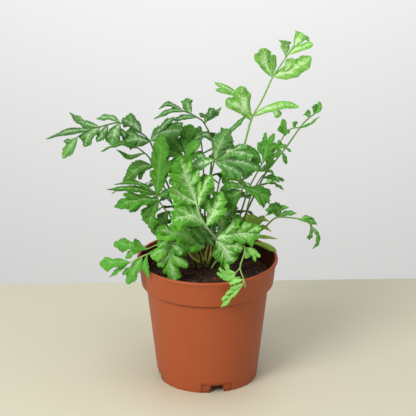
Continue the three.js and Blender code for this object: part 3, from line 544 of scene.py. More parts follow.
fronds = {}
fronds["left_long"] = {
    "foot": (170, 8), "lean": -14, "tone": "greyGreen",
    "stalk": [(-16, 118, -14), (-27, 148, -12), (-37.5, 174, -9), (-43, 189.5, -7), (-52, 198, -5),
              (-64.5, 204, -2), (-75, 202.5, 1), (-87, 198.5, 3)],
    "twigs": [[(-86, 198.8, 3), (-92, 196.5, 5), (-97.5, 192.5, 7)]],
    "leaves": [
        leaf(7, 3, (-43, 190, -7), (-33, 197, -9), (-18, 199, -12), tilt=14, silver=0.5),
        leaf(2.8, 2, (-38, 196, -8), (-31, 204, -11), (-24, 209, -14), style="sharp"),
        leaf(4, 2, (-39, 195, -8), (-32, 188, -9), tone=1.2),
        leaf(5.6, 2, (-49, 195.5, -6), (-55, 203, -8), (-64, 206.5, -6)),
        leaf(2.6, 2, (-64.5, 204, -2), (-72, 208.5, -4), (-82.5, 207.5, -6), style="sharp"),
        leaf(6.4, 2, (-65, 204, -2), (-69.5, 196, 2), (-71, 186.5, 6)),
        leaf(4.4, 2, (-80, 201, 1.5), (-88, 195, 7), (-92, 185.5, 10)),
        leaf(3.4, 1, (-74, 202.6, 0.8), (-78, 196, 4), (-83, 189.5, 7)),
        leaf(3.2, 2, (-80, 200.8, 2), (-92.5, 204.5, 0), (-102.5, 212.5, -4), style="sharp", peak=0.36),
        leaf(2.6, 1, (-85, 199.2, 2.8), (-103, 197.5, 4), (-120.5, 191.5, 5), style="sharp"),
        leaf(4.4, 1, (-97, 193, 7), (-102, 187, 9), (-108.5, 176.5, 12), peak=0.42, tone=1.35,
             silver=0.5),
        leaf(6.6, 3, (-43, 189.5, -7), (-54, 191.5, -2), (-63, 188, 2)),
        lobe(3, (-31, 198, -10), (-25, 201.5, -12), (-18, 204, -13)),
        lobe(2.6, (-67, 200, -1), (-64, 197.5, 0), (-61, 193.5, 1)),
        lobe(2.2, (-68.5, 198, 1), (-72, 195, 3), (-75.5, 191.5, 4)),
        lobe(3, (-51, 191, -3), (-56, 195, -3), (-61.5, 196.5, -2)),
        lobe(2.8, (-50, 190.5, -4), (-55, 187.5, -3), (-58, 183.5, -2)),
        lobe(1.8, (-101, 188.5, 9), (-104.5, 190, 9), (-107.5, 189.5, 9)),
        lobe(1.6, (-93, 204.8, 0), (-95, 208, -1), (-97.5, 210, -2)),
    ],
}
fronds["left_small"] = {
    "foot": (190, 8), "lean": 12, "tone": "deepGreen", "style": "coarse",
    "stalk": [(-19, 121, -10), (-31, 150, -2), (-41, 170.5, 4), (-44.5, 178, 6), (-54, 186, 8)],
    "leaves": [
        leaf(2, 2, (-52, 184.5, 7.6), (-63, 188.3, 9.5), (-74, 184.5, 11), style="sharp", peak=0.4,
             tone=0.85),
        leaf(1.9, 1, (-47, 180.5, 6.6), (-58, 178, 9), (-68, 183, 12), style="sharp", tone=0.8),
        leaf(5.8, 1, (-41, 171, 4), (-51.5, 168.5, 2), (-64.5, 155.5, 2), style="sharp", peak=0.33,
             tilt=10, tone=1.05),
        leaf(3, 2, (-45, 171, 3), (-50, 165, 0), (-51.5, 159.5, -2)),
        lobe(0.9, (-71, 186, 10.6), (-75, 184.3, 11.4), (-79.5, 181.5, 12)),
    ],
}
fronds["left_star"] = {
    "foot": (207, 10.2), "lean": 30, "tone": "midGreen",
    "stalk": [(-17, 111, -6), (-26.5, 127.5, 5), (-36.5, 142, 9), (-38.5, 149, 9)],
    "leaves": [
        leaf(2.8, 3, (-38, 147, 9), (-55, 152, 11), (-75.5, 151.5, 13), style="sharp", peak=0.42,
             tone=0.8),
        leaf(6, 3, (-37, 143, 9), (-52, 143, 13), (-70.5, 137.5, 17), style="sharp"),
        leaf(7, 3, (-36.5, 142.5, 9), (-42.5, 135, 13), (-43.5, 122.5, 16), tilt=12),
        leaf(7.4, 3, (-30.5, 134, 5), (-34.8, 126, 4), (-40, 114.5, 3), tilt=8, tone=0.75),
        leaf(6.6, 3, (-38, 147, 9), (-36, 170, 8), (-34, 196, 4), tone=0.95, silver=0.15),
        leaf(1.8, 2, (-38.2, 148, 9), (-54, 157, 8), (-70, 155.5, 7), style="sharp", tone=0.75),
        leaf(2.6, 2, (-37.8, 146, 9), (-28, 151, 7), (-19, 151, 5)),
        lobe(2.4, (-50, 143.5, 12), (-57, 147, 13), (-63.5, 147.5, 14)),
        lobe(3, (-48, 142, 12), (-54, 138, 14), (-59, 133.5, 15)),
        lobe(3.4, (-35, 126.5, 4), (-40, 124.5, 4), (-45, 121, 4)),
        lobe(3, (-36.3, 123, 3.7), (-32.5, 120.5, 3), (-30, 117, 2.5)),
        lobe(2.8, (-36, 169, 8), (-39, 175, 7), (-41, 181.5, 6)),
        lobe(2.8, (-36, 169, 8), (-32, 176, 7), (-29.5, 183, 6)),
        lobe(2.8, (-36.5, 157, 8), (-39.5, 161, 8), (-42.5, 166.5, 8)),
        lobe(2.8, (-36.5, 157, 8), (-33, 162, 8), (-29.5, 167.5, 8)),
        lobe(3, (-41, 138, 12), (-46, 134, 14), (-49, 129, 15)),
    ],
}
fronds["front_left"] = {
    "foot": (225, 8.2), "lean": 0, "tone": "freshGreen",
    "stalk": [(-14, 103.5, 3), (-25, 108, 10), (-35, 104.5, 18), (-43, 100, 23), (-50, 97, 26),
              (-62, 90.5, 30)],
    "twigs": [[(-25, 108, 10), (-37, 107, 16), (-47, 102.5, 20)]],
    "leaves": [
        leaf(5, 2, (-45, 103.2, 19.6), (-57, 106, 20), (-71.5, 107.5, 21), peak=0.58),
        leaf(2.6, 1, (-47.5, 103, 20), (-52.5, 107.5, 19), (-55.5, 111.5, 18), peak=0.58),
        leaf(2.6, 2, (-50, 103.5, 20), (-57, 100.5, 22), (-62.5, 95.5, 23)),
        leaf(5, 2, (-59, 92.5, 29), (-70, 92.5, 31), (-82.5, 91, 33), peak=0.58),
        leaf(1.8, 2, (-60.5, 91.5, 29.6), (-68, 86, 32), (-75, 80, 34), style="sharp"),
        leaf(5.2, 2, (-49.5, 97.4, 25.8), (-55.5, 87, 30), (-61.5, 74.5, 32), tilt=14),
        leaf(2.6, 1, (-46, 98.6, 24.6), (-48, 90, 32), (-45, 80, 38), peak=0.58),
        lobe(2, (-56, 87.5, 29), (-61, 86, 30), (-65, 82, 31)),
    ],
}
fronds["front_low"] = {
    "foot": (245, 8.2), "lean": 0, "tone": "brightGreen",
    "stalk": [(-6, 100, 2), (-13, 106, 10), (-22, 110, 18), (-28, 109.5, 24)],
    "leaves": [
        leaf(6.8, 3, (-27.5, 110, 23), (-29.5, 99, 28), (-27, 80, 32), tilt=14, silver=0.25),
        leaf(5.2, 1, (-28, 106, 25), (-35, 101.5, 28), (-43.5, 97, 29), silver=0.4),
        leaf(4, 1, (-28, 98.5, 30), (-22, 94, 30.5), (-15, 88.5, 31), peak=0.6, silver=0.4),
        # the raised tones of these two leaves are painted light, lifting leaves that the centre frond
        # shades from above
        leaf(7.2, 3, (-4, 104, 4.4), (-12, 111.5, 14), (-24, 116, 28.5), (-39, 112.5, 35), tilt=16,
             tone=1.2, silver=0.4),
        leaf(7.2, 2, (-1.5, 105, 5), (-12, 106.5, 12), (-26.5, 102.5, 18), tilt=14, tone=1.45,
             silver=0.2),
        leaf(5.4, 2, (-2.5, 104.5, 4.5), (-5, 112, 9), (-12, 119.5, 12), tone=0.75, silver=0.3),
        lobe(4, (-28, 107, 26), (-23.5, 104, 27), (-19, 98.5, 28)),
        lobe(4, (-29, 98, 29), (-33.5, 94, 30), (-38, 89, 30)),
        lobe(5.8, (-28, 91.5, 30.5), (-26.5, 84.5, 32), (-25.3, 77, 33)),
        lobe(4.4, (-25, 115.5, 28.5), (-31, 118, 33), (-38.5, 118.5, 37)),
        lobe(4.4, (-27, 114, 29), (-32.5, 110, 31), (-37.5, 104.5, 35)),
        lobe(4, (-13, 106, 12), (-18, 101.5, 14), (-21, 97.5, 16)),
    ],
}
fronds["centre"] = {
    "foot": (280, 8), "lean": 30, "tone": "silverGreen", "radius": (1, 0.75),
    "stalk": [(5.5, 103, 4), (7, 111, 10), (2, 117.5, 14), (-2, 123.5, 16), (-5.5, 129.5, 17),
              (-8, 139, 16), (-9.5, 145, 14)],
    "leaves": [
        leaf(9.4, 3, (-9, 142, 14.7), (-15.5, 160, 10), (-21, 178, 5)),
        leaf(5.6, 2, (-7.5, 137, 16.2), (-4, 151, 12), (3, 163, 8)),
        leaf(6, 2, (-8, 140, 15.8), (-18, 146, 16), (-29, 147, 16)),
        leaf(8.8, 3, (-2, 123.5, 16), (-13, 130.5, 19), (-27.5, 125.5, 22)),
        leaf(7, 3, (-1, 122, 15.6), (5.5, 134, 13), (11, 150, 9)),
        leaf(8.4, 3, (6.5, 111.5, 10.4), (22, 116, 10), (40, 114.5, 8)),
        leaf(4.2, 2, (13, 115, 10), (19, 122, 8), (24, 128, 5)),
        leaf(9.6, 3, (6.5, 110.5, 9.6), (13, 103.5, 14), (20, 92, 18)),
        lobe(3.4, (-13.5, 154, 11), (-9.5, 160, 10), (-7, 166.5, 9)),
        lobe(4, (-15.5, 158, 10), (-22, 163, 10), (-28, 167, 10)),
        lobe(3.8, (-13.5, 151, 12), (-20, 155, 12), (-28, 157.5, 12)),
        lobe(3, (-17, 163, 9), (-14, 169, 8), (-13, 174, 7)),
        lobe(3.4, (-4.5, 147, 13), (0.5, 150, 12), (5, 154, 10)),
        lobe(2.8, (-5, 146, 13.5), (-6, 152, 12), (-5.5, 158, 11)),
        lobe(3.2, (-17, 145.5, 16), (-22.5, 149.5, 16), (-27.5, 152.5, 16)),
        lobe(3.2, (-16, 145, 16), (-22, 142, 16), (-26.5, 139, 16)),
        lobe(4.4, (-10, 129, 18), (-18, 134, 19), (-25, 136.5, 20)),
        lobe(4.4, (-11, 129.5, 18.5), (-17, 124, 20), (-23, 118.5, 21)),
        lobe(3.8, (3.5, 130, 13.5), (8.5, 134, 12), (13, 138.5, 11)),
        lobe(3.2, (3, 130, 13.5), (1, 137, 12), (0.5, 143, 11)),
        lobe(3.8, (22, 117.5, 10), (28, 121, 9), (33.5, 123.5, 8)),
        lobe(4, (22, 117, 10), (30, 112, 10), (36.5, 108, 10)),
        lobe(3.2, (30, 117, 9), (35, 119.5, 8), (41, 120, 7)),
        lobe(4.8, (12, 106, 12), (20, 105.5, 13), (27, 103, 14)),
        lobe(4.6, (11, 106, 12), (9.5, 99.5, 14), (11, 93, 16)),
        lobe(4, (5, 106, 0), (-1, 114, -1), (-6, 122, -2)),
        lobe(4.4, (8, 112, 0), (11, 123, -3), (9, 132, -5)),
    ],
}
fronds["centre_right"] = {
    "foot": (318, 8.2), "lean": 28, "tone": "shadeGreen",
    "stalk": [(10, 110, -8), (17, 128, -6), (23.5, 144, -3), (27, 154, -2), (26.5, 160, -3)],
    "leaves": [
        leaf(8, 3, (26, 150.5, -2), (19.5, 146, 1), (11.5, 137, 3), tone=0.68, silver=0.5),
        leaf(3, 2, (26.5, 153, -2), (18, 155.5, -1), (9.5, 151, 0)),
        leaf(5, 2, (26.6, 157.5, -2.6), (19, 163, -5), (11, 157, -7), tone=0.72, silver=0.6),
        leaf(7.2, 3, (26.5, 153.5, -2), (36, 150, 0), (47.5, 142.5, 2), style="sharp", peak=0.46,
             tone=0.64, silver=0.25),
        leaf(5.6, 2, (26.4, 159, -3), (31, 167, -8), (38, 176, -12), tone=0.68, silver=0.35),
        leaf(6.8, 2, (18, 130.5, -6), (20, 127, -9), (15, 118, -12), tone=0.65),
        lobe(4, (20, 146, 1), (14, 146.5, 1), (8, 144, 2)),
        lobe(3.6, (20, 146, 1), (18, 141, 2), (18.5, 135, 3)),
        lobe(3.2, (35, 150.5, 0), (39, 146, 1), (41, 140, 1)),
        lobe(3.6, (17, 127.5, -8), (22, 125.5, -9), (27, 121.5, -10)),
        lobe(3.6, (17, 127.5, -8), (13, 125, -10), (9, 121, -11)),
        lobe(3.4, (29, 163.5, -6), (34, 168, -8), (39.5, 169.5, -9)),
        lobe(3, (19, 162.5, -5), (15, 165, -5), (10, 165, -6)),
    ],
}
fronds["upper_centre"] = {
    "foot": (262, 10.2), "lean": 22, "tone": "blueGreen",
    "stalk": [(0, 108, -3), (0.5, 130, -2), (1.6, 155, 3), (5.5, 176, 7)],
    "leaves": [
        leaf(7.4, 3, (5.5, 175, 6.8), (8.5, 186, 5), (16, 199, 2.5), peak=0.42, tone=0.85, silver=0.35),
        leaf(2, 2, (9.5, 188.5, 4), (17, 198, 2), (23, 204, 0), (29, 210.5, -2), tone=0.8, silver=0.2),
        leaf(5.4, 2, (5.5, 175, 6.8), (17, 182, 8), (35, 178, 9)),
        leaf(5, 2, (5.4, 174, 6.6), (14, 170.5, 10), (26.5, 163, 12)),
        leaf(5.4, 2, (5.3, 175, 6.8), (-4, 172.5, 3), (-14, 165.5, -3)),
        leaf(4.8, 2, (5.5, 175.5, 6.8), (22, 173.5, 5), (39, 168.5, 3)),
        leaf(5, 2, (0.3, 118, -2.5), (-5, 126, -6), (-9, 136, -8)),
        leaf(4.6, 2, (0.5, 130, -2), (8, 137, -8), (10, 147, -10)),
        leaf(5, 2, (0, 108, -3), (-8, 111, -8), (-13, 119, -10)),
        leaf(5, 2, (0.3, 110, -3), (8, 113, -8), (14, 121, -10)),
        leaf(4.6, 2, (0.5, 112, -3), (3, 119, -6), (4, 129, -8)),
        lobe(1.6, (16.5, 196.5, 2), (20.5, 201.5, 1), (25, 203.5, 1)),
        lobe(2.4, (18, 182, 8), (24, 185, 8), (30, 185, 8)),
        lobe(2.6, (14, 171, 10), (14, 167, 10), (17, 162, 11)),
        lobe(2.6, (21, 173.5, 5), (26, 169, 5), (30, 164.5, 4)),
        lobe(2.4, (-2, 173, 4), (-4, 177.5, 3), (-8, 178.5, 2)),
    ],
}
fronds["top_centre"] = {
    "foot": (58, 8), "lean": -12, "tone": "duskGreen",
    "stalk": [(4, 122, -24), (1.5, 150, -23), (3, 172, -22), (4.5, 188, -21), (-2.5, 204, -20),
              (-7, 208, -20), (-12, 211, -20), (-18, 213.5, -20)],
    "leaves": [
        leaf(2.2, 1, (-2.2, 203.5, -20), (-1.5, 208, -20), (-6, 211.8, -20)),
        leaf(3.6, 2, (-2.2, 203.5, -20), (1.5, 210.5, -21), (4.5, 216, -22), peak=0.6),
        leaf(2.2, 2, (-1, 205.5, -20), (6, 211.5, -20), (10.3, 216.3, -21), style="sharp"),
        leaf(4.6, 2, (-12, 211, -20), (-14.5, 216.5, -22), (-15.5, 223.5, -24), peak=0.54, tilt=6,
             tone=1.2),
        leaf(1.9, 2, (-17, 213.2, -20), (-29, 219, -18), (-36, 215, -17), style="sharp"),
        leaf(2.1, 2, (-17, 213.2, -20), (-27, 213.8, -17), (-39.8, 207.3, -14), style="sharp"),
        leaf(2.4, 2, (-8, 208.7, -20), (-16, 209, -20), (-26, 206.2, -20), style="sharp"),
        leaf(3.2, 2, (4.4, 189.5, -21), (-1, 195, -21), (-10, 191.5, -20)),
        leaf(5, 2, (8, 135, -24), (0, 140, -22), (-8, 148, -22), tone=0.9),
        leaf(4.6, 2, (8, 128, -24), (16, 133, -26), (20, 142, -28), tone=0.9),
    ],
}
fronds["back_dark"] = {
    "foot": (113, 8.4), "lean": -10, "tone": "deepGreen",
    "stalk": [(-7, 115, -27), (-12, 145, -30), (-16, 172, -32), (-17.5, 184, -32)],
    "leaves": [
        leaf(5.8, 2, (-17, 181, -32), (-25, 190, -33), (-31, 199, -34)),
        leaf(6.2, 2, (-17.4, 183, -32), (-15, 194, -34), (-12, 203, -37), peak=0.55, tilt=10, tone=1.75),
        leaf(4.2, 1, (-16.6, 177, -32), (-12.5, 184, -29), (-5.5, 189.5, -27), style="smooth", peak=0.55,
             tilt=8, tone=2.1),
        leaf(3.4, 2, (-16.2, 174, -32), (-10, 178.5, -30), (-3, 177, -28)),
        leaf(5, 3, (-16.5, 176, -32), (-26, 181, -31), (-35, 178, -30)),
        leaf(5.4, 2, (-15, 165, -31.5), (-23, 171, -31), (-32, 168, -30)),
        leaf(4.6, 2, (-13.4, 154, -30.6), (-21, 160, -30), (-29, 157, -29)),
        leaf(5, 2, (-8, 120, -27), (-16, 126, -26), (-22, 135, -26)),
        leaf(5, 2, (-8, 118, -27), (0, 124, -28), (5, 133, -30)),
        leaf(4.4, 2, (-10, 132, -29), (-17, 140, -28), (-19, 150, -29)),
        lobe(3, (-21, 186, -32.5), (-27, 187, -33), (-33, 190, -33.5)),
        lobe(3.2, (-15.5, 191, -33), (-19, 197, -34), (-20.5, 203, -35)),
        lobe(3.2, (-15.3, 191, -33), (-9, 196, -35), (-5, 201.5, -36)),
    ],
}
fronds["tall_right"] = {
    "foot": (42, 10.4), "lean": -12, "tone": "limeGreen", "radius": (1, 0.6),
    "stalk": [(8, 115, -20), (15, 145, -17), (22, 170, -13), (28, 188.5, -9), (33, 207.5, -6),
              (39.5, 220, -4), (44.5, 231, -3), (48.5, 240, -2), (58, 255, 0), (64, 264.5, 0)],
    "leaves": [
        leaf(5.8, 2, (48, 239.5, -2), (43, 250, -3), (41, 262, -5), peak=0.6),
        leaf(3, 1, (48, 240, -2), (48.6, 248, -3), (49, 257, -4), peak=0.66, silver=0.3),
        leaf(6.2, 3, (48.7, 240.3, -2), (62.5, 245.5, 0), (76.5, 255, 2), peak=0.46),
        leaf(4.2, 2, (57.6, 255, 0), (57.6, 261, -1), (57.8, 267.6, -2), peak=0.66),
        leaf(2.8, 1, (59.5, 257.4, 0), (67.5, 261.8, 2), (77.5, 265.5, 3)),
        leaf(4.9, 2, (63.5, 263, 0), (66.5, 268.5, 0), (69.4, 273.6, 0), peak=0.56),
        leaf(1.4, 1, (69, 271.5, 0), (72.5, 270, 0.5), (74.8, 267.2, 1)),
        leaf(6, 2, (32.5, 206.2, -6), (28, 216, -6), (24.5, 232.8, -8), peak=0.54, tone=0.9),
        leaf(4.8, 1, (30, 210.5, -6), (22.5, 217.5, -4), (13.5, 222, -3), tone=0.9),
        leaf(2.2, 1, (27.5, 217, -6), (18, 229, -7), (5.5, 235.5, -8)),
        leaf(3, 2, (34, 209.5, -5.6), (44, 214.8, -3), (57, 218.3, -1), (68, 216.8, 1)),
        leaf(3, 1, (48, 216, -2.3), (51, 213, -1), (54, 209.3, 0)),
        leaf(2.8, 1, (33.4, 206, -5), (32, 209, -4), (29.5, 211.5, -3)),
        lobe(3.4, (57, 244, 0), (60, 249, 0), (63, 254.5, -1)),
        lobe(2.4, (43.5, 248, -3), (38, 253, -4), (35.3, 258, -5)),
        lobe(1.8, (21, 226, -7), (13, 229, -7.5), (6, 230.3, -8)),
    ],
}
fronds["right_thin"] = {
    "foot": (357, 8.2), "lean": 8, "tone": "grassGreen", "style": "smooth",
    "stalk": [(17, 113, -14), (25, 122, -12), (32, 139, -10), (37.4, 151, -8), (43.3, 163.5, -7),
              (50, 173, -6), (59.5, 186, -4), (69.5, 201, -2), (74.5, 207, -1), (80.5, 212, 0)],
    "twigs": [[(69, 200.4, -2), (64, 200, -4), (59, 198, -6)],
              [(43.3, 163.5, -7), (45.5, 173, -9), (50.5, 182.5, -9), (55.5, 191, -8), (58.6, 197.2, -7)],
              [(29, 131, -11), (31.5, 142, -14), (35, 151, -14), (40, 160.5, -11), (43.3, 164, -7.2)]],
    "leaves": [
        leaf(2.8, 1, (76, 208.4, -1.2), (75, 210.5, -2), (73, 212.5, -2), tone=0.8),
        leaf(2.4, 1, (79.5, 211.2, -0.2), (80, 215, -1), (79, 218, -1)),
        leaf(1.6, 2, (80, 211.6, 0), (83.5, 216, 0), (82.3, 221, -1)),
        leaf(1, 2, (69, 200.3, -2), (77, 204, 0), (83, 209, 2), style="sharp"),
        leaf(1.9, 1, (65, 200.2, -4), (65, 202.5, -4), (65.8, 205.4, -4)),
        leaf(2.2, 1, (58.4, 197, -7), (57.4, 202, -7), (55.8, 207, -7), tone=1.1),
        leaf(2.1, 1, (57.6, 195.4, -7.3), (55.5, 198.6, -7.6), (53.6, 201.6, -8)),
        leaf(1.9, 1, (56.8, 193.6, -7.5), (58.5, 196.5, -7), (61.5, 198.3, -6.6), tone=0.9),
        leaf(2.3, 2, (50.5, 182.5, -9), (53, 186.5, -10), (53.6, 191, -11), style="sharp", tone=1.1),
        leaf(2, 2, (52, 185, -8.6), (55.5, 186, -8), (59.5, 184.8, -7), style="sharp", tone=1.1),
        leaf(2.2, 2, (47.5, 177, -9), (51, 179, -8), (55, 183.5, -8), style="toothed", tone=0.95),
        leaf(1.7, 1, (56, 181.5, -4.8), (57.7, 177.5, -3), (59.6, 172, -2), tone=0.85),
        leaf(0.9, 1, (58.5, 184.5, -4.2), (60.5, 183.5, -3), (62.5, 181.5, -2), tone=0.8),
        leaf(3.6, 2, (44, 167.5, -8), (46.2, 172.5, -7), (48.5, 178, -5), style="toothed", tone=0.85),
        leaf(1.8, 1, (42, 161, -7.3), (47.5, 161.5, -5), (54.5, 157.6, -3), style="sharp", tone=0.75),
        leaf(1.3, 1, (44.6, 165.5, -6.8), (47.5, 166, -5), (50.5, 162.5, -4), style="sharp", tone=0.8),
    ],
}
fronds["right_fan"] = {
    "foot": (27, 8), "lean": -8, "tone": "grassGreen",
    "stalk": [(20, 116, -20), (26, 135, -18), (31, 151.5, -16), (37.5, 165, -15), (42, 173.5, -15)],
    "leaves": [
        leaf(5.4, 2, (41.6, 172.8, -15), (44, 181, -16), (44.5, 191, -18), peak=0.6, tone=1.12),
        leaf(3.2, 2, (41, 171.6, -15), (36.5, 179, -17), (29, 187.5, -19), style="sharp", tone=0.75),
        leaf(3, 2, (40, 169.8, -15), (34, 171, -17), (28, 166, -19), style="sharp", tone=0.7),
        leaf(2, 1, (38, 166, -15), (41.5, 168, -14), (44, 171, -14), style="sharp", tone=0.8),
        lobe(2.3, (45, 184, -16.6), (47, 190, -17), (49.8, 196, -18)),
        lobe(2, (44, 185, -16.6), (43, 190.5, -17), (43.6, 196.8, -18)),
        lobe(2.4, (44, 179, -16), (48.5, 183, -16.6), (52, 188, -17)),
        lobe(2.2, (43.3, 178, -16), (39.5, 183, -16.6), (38.2, 189, -17)),
    ],
}
fronds["right_droop"] = {
    "foot": (338, 10.2), "lean": 28, "tone": "midGreen", "style": "sharp",
    "stalk": [(18, 106, -12), (30, 111, -14), (41.5, 119, -14), (49.5, 127, -13), (54, 129.2, -12),
              (62, 128.8, -11), (70, 127.5, -10), (77, 124.5, -9), (79.5, 121, -9)],
    "leaves": [
        leaf(3.2, 2, (53.5, 129, -12), (50.5, 135.5, -13), (43.6, 135, -13)),
        leaf(3.4, 2, (54.5, 129.2, -12), (54, 135, -13), (48.5, 140.5, -13)),
        leaf(2.2, 2, (54, 129.5, -12), (60, 132.4, -13), (67.6, 132.4, -13)),
        leaf(2.6, 2, (69, 127.5, -10), (76, 127.4, -11), (83.4, 123.6, -10)),
        leaf(2.2, 2, (78.5, 122.5, -9), (78.8, 117, -8), (77.5, 110.6, -8), peak=0.6),
        leaf(1.9, 3, (79.3, 121.6, -9), (83.5, 115.5, -8), (84, 108.5, -8), (80.2, 103.4, -8), peak=0.42),
        lobe(1.3, (52.5, 132.6, -12.4), (48.5, 133, -13), (44, 130.6, -13)),
        lobe(1.7, (71, 127.3, -10.2), (74, 129, -11), (78.4, 128.8, -11)),
        lobe(1.7, (54, 134, -13), (57.5, 137, -13), (61.5, 137, -13)),
    ],
}
fronds["right_aged"] = {
    "foot": (13, 10.4), "lean": 0, "tone": "oliveGreen",
    "stalk": [(15, 104, -19), (25, 109, -22), (33, 115, -26), (37, 121, -29)],
    "leaves": [
        leaf(6, 2, (33.6, 115.8, -26.4), (32, 123, -28.4), (34.5, 131.5, -31), silver=1.3),
        leaf(1.7, 2, (36.8, 120.6, -28.8), (41.5, 127, -30), (47, 126, -30), style="sharp", tone=0.7),
        leaf(1.6, 2, (36, 119, -28.2), (42.5, 121.5, -28), (48.5, 117.6, -27), style="sharp", tone=0.7),
        leaf(1.6, 2, (29, 111.8, -24), (41, 113.5, -24), (52.8, 111.6, -22), style="sharp", tone=0.85,
             silver=0.2),
        leaf(2.5, 1, (25.6, 109.4, -22.3), (41, 107.3, -17), (53, 101.6, -9), style="sharp", peak=0.72,
             tone=0.9, silver=0.15),
        lobe(2.6, (33.6, 122, -28.4), (38.5, 126, -30), (43.5, 130, -31)),
        lobe(3, (32.6, 122, -28.2), (28, 126, -29), (24, 129.5, -30)),
    ],
}
fronds["front_right"] = {
    "foot": (298, 10.2), "lean": 0, "tone": "paleGreen", "radius": (0.85, 0.4),
    "stalk": [(14, 101, -4), (23, 106.5, 6), (28.5, 104.5, 18), (27.5, 97, 30), (25, 88, 40),
              (27.5, 79, 54), (27.5, 74.5, 57), (23.5, 68.5, 60), (15, 60.5, 62)],
    "twigs": [[(25, 87.5, 40.6), (22.5, 84.5, 43), (20, 82.5, 44)],
              [(27.5, 79, 54), (28.5, 76, 55.5), (29.3, 71.5, 57)]],
    "leaves": [
        leaf(2.3, 1, (21.5, 83.6, 43.4), (16.8, 85.5, 43), (14.8, 91.2, 42), peak=0.6),
        leaf(2.1, 1, (21, 83.2, 43.6), (14, 83.5, 44), (8.7, 87.6, 44), peak=0.6),
        leaf(2.2, 1, (20.5, 82.8, 43.8), (13.5, 81, 46), (7.2, 83.6, 47)),
        leaf(2.8, 1, (22.3, 84.2, 43.2), (17.5, 80.2, 46), (11.8, 78.6, 47)),
        leaf(2.4, 1, (27.4, 78, 55), (22, 76.8, 57), (16.8, 74.6, 59)),
        leaf(2.2, 1, (27.2, 74.6, 57), (22.5, 72.3, 58), (17.3, 70.3, 59)),
        leaf(2.3, 2, (26, 72, 58), (19.5, 65.8, 60.5), (10.5, 55.3, 62)),
        leaf(2.8, 1, (28.4, 103.8, 19), (30, 99.5, 22), (30.5, 95.5, 24), peak=0.6),
        leaf(1.9, 1, (28.8, 104.2, 17), (34.5, 99.5, 21), (36.8, 93.5, 24), peak=0.6),
        leaf(2.1, 1, (28.4, 104.6, 16), (35, 102, 19), (40.5, 97, 22), peak=0.6),
        lobe(1.6, (25.5, 80, 50), (21.5, 79, 51), (17.5, 77.2, 52)),
        lobe(1.6, (21, 67.5, 60.5), (17.5, 68, 61), (14, 65.5, 61)),
        lobe(1.6, (17.5, 63.5, 61), (14.5, 63.7, 61.5), (11, 61, 62)),
    ],
}


def footOf(bearing, distance):
    x, y = onCircle(distance, math.radians(bearing))
    heights = (-plant["stalkSink"], plant["stalkStart"])
    return [Vector((plant["crown"][0] + x, plant["crown"][1] + y, plant["soilLevel"] + height)) * mm
            for height in heights]


# The lean brings a frond to the eye, more and more, by so much at 100 mm from the soil's middle.
def leaning(point, lean):
    far = math.hypot(point[0], point[1] - plant["soilLevel"]) / 100
    return seen((point[0], point[1], point[2] + lean * far ** 1.5))


def finishFrond(name, bm, leafMaterial, stalkMaterial):
    node = "frond_" + name
    addPiece(finishMesh("fern_" + name, bm, [leafMaterial, stalkMaterial]), nodeSlots[node], node)


def makeFrond(name, settings, leafMaterials, stalkMaterials):
    bm, layers = newLeafMesh()
    leafKind, stalkKind, styleName, silver, tone = tones[settings["tone"]]
    styleName = settings.get("style", styleName)
    lean = settings["lean"]
    route = footOf(*settings["foot"]) + [leaning(point, lean) for point in settings["stalk"]]
    addTube(bm, route, *settings.get("radius", plant["stalkRadius"]), 1, facing=toEye(route[2]))
    for twig in settings.get("twigs", []):
        addTube(bm, [leaning(point, lean) for point in twig], *plant["twigRadius"], 1)
    for number, blade in enumerate(settings["leaves"]):
        midrib = [leaning(point, lean) for point in blade["points"]]
        tilt = plant["tilt"] + plant["tiltSwing"] * math.sin(number * plant["tiltStep"])
        style = leafStyles[blade.get("style", styleName)]
        addLeaf(bm, layers, midrib, blade["half"] * mm, blade["lobes"], toEye, blade.get("tilt", tilt),
                style, blade.get("peak"), silver * blade.get("silver", 1), tone * blade.get("tone", 1),
                blade.get("sunk", 0) * mm)
    finishFrond(name, bm, leafMaterials[leafKind], stalkMaterials[stalkKind])


backFronds = [
    {"bearing": 76, "foot": 10.6, "lean": 70, "reach": 62, "rise": 66, "leaf": 25, "tone": "midGreen"},
    {"bearing": 92, "foot": 8.4, "lean": 96, "reach": 50, "rise": 84, "leaf": 24, "tone": "deepGreen"},
    {"bearing": 104, "foot": 11.6, "lean": 118, "reach": 66, "rise": 52, "leaf": 24, "tone": "brightGreen"},
    {"bearing": 130, "foot": 10.8, "lean": 112, "reach": 78, "rise": 32, "leaf": 22, "tone": "midGreen"},
    {"bearing": 148, "foot": 9.6, "lean": 152, "reach": 52, "rise": 50, "leaf": 20, "tone": "deepGreen"},
    {"bearing": 56, "foot": 13.4, "lean": 52, "reach": 66, "rise": 44, "leaf": 24, "tone": "brightGreen"},
]
backLeaves = {                 # places along the stalk and turns from it, lengths and half widths
    "sides": [(0.3, 1.1), (0.42, -1.1), (0.5, 1), (0.62, -1), (0.76, 0.95), (0.88, -0.8)],
    "tip": (0.99, 0.1, 1.1, 0.18), "sideLength": (1.2, -0.4), "sideWidth": 0.2,
    "middle": (0.55, 0.08), "end": (1, -0.22),     # along the leaf and up, as shares of its length
    "knots": (0.28, 0.5, 0.62, 0.76, 0.88, 1), "radius": (0.9, 0.5),
}


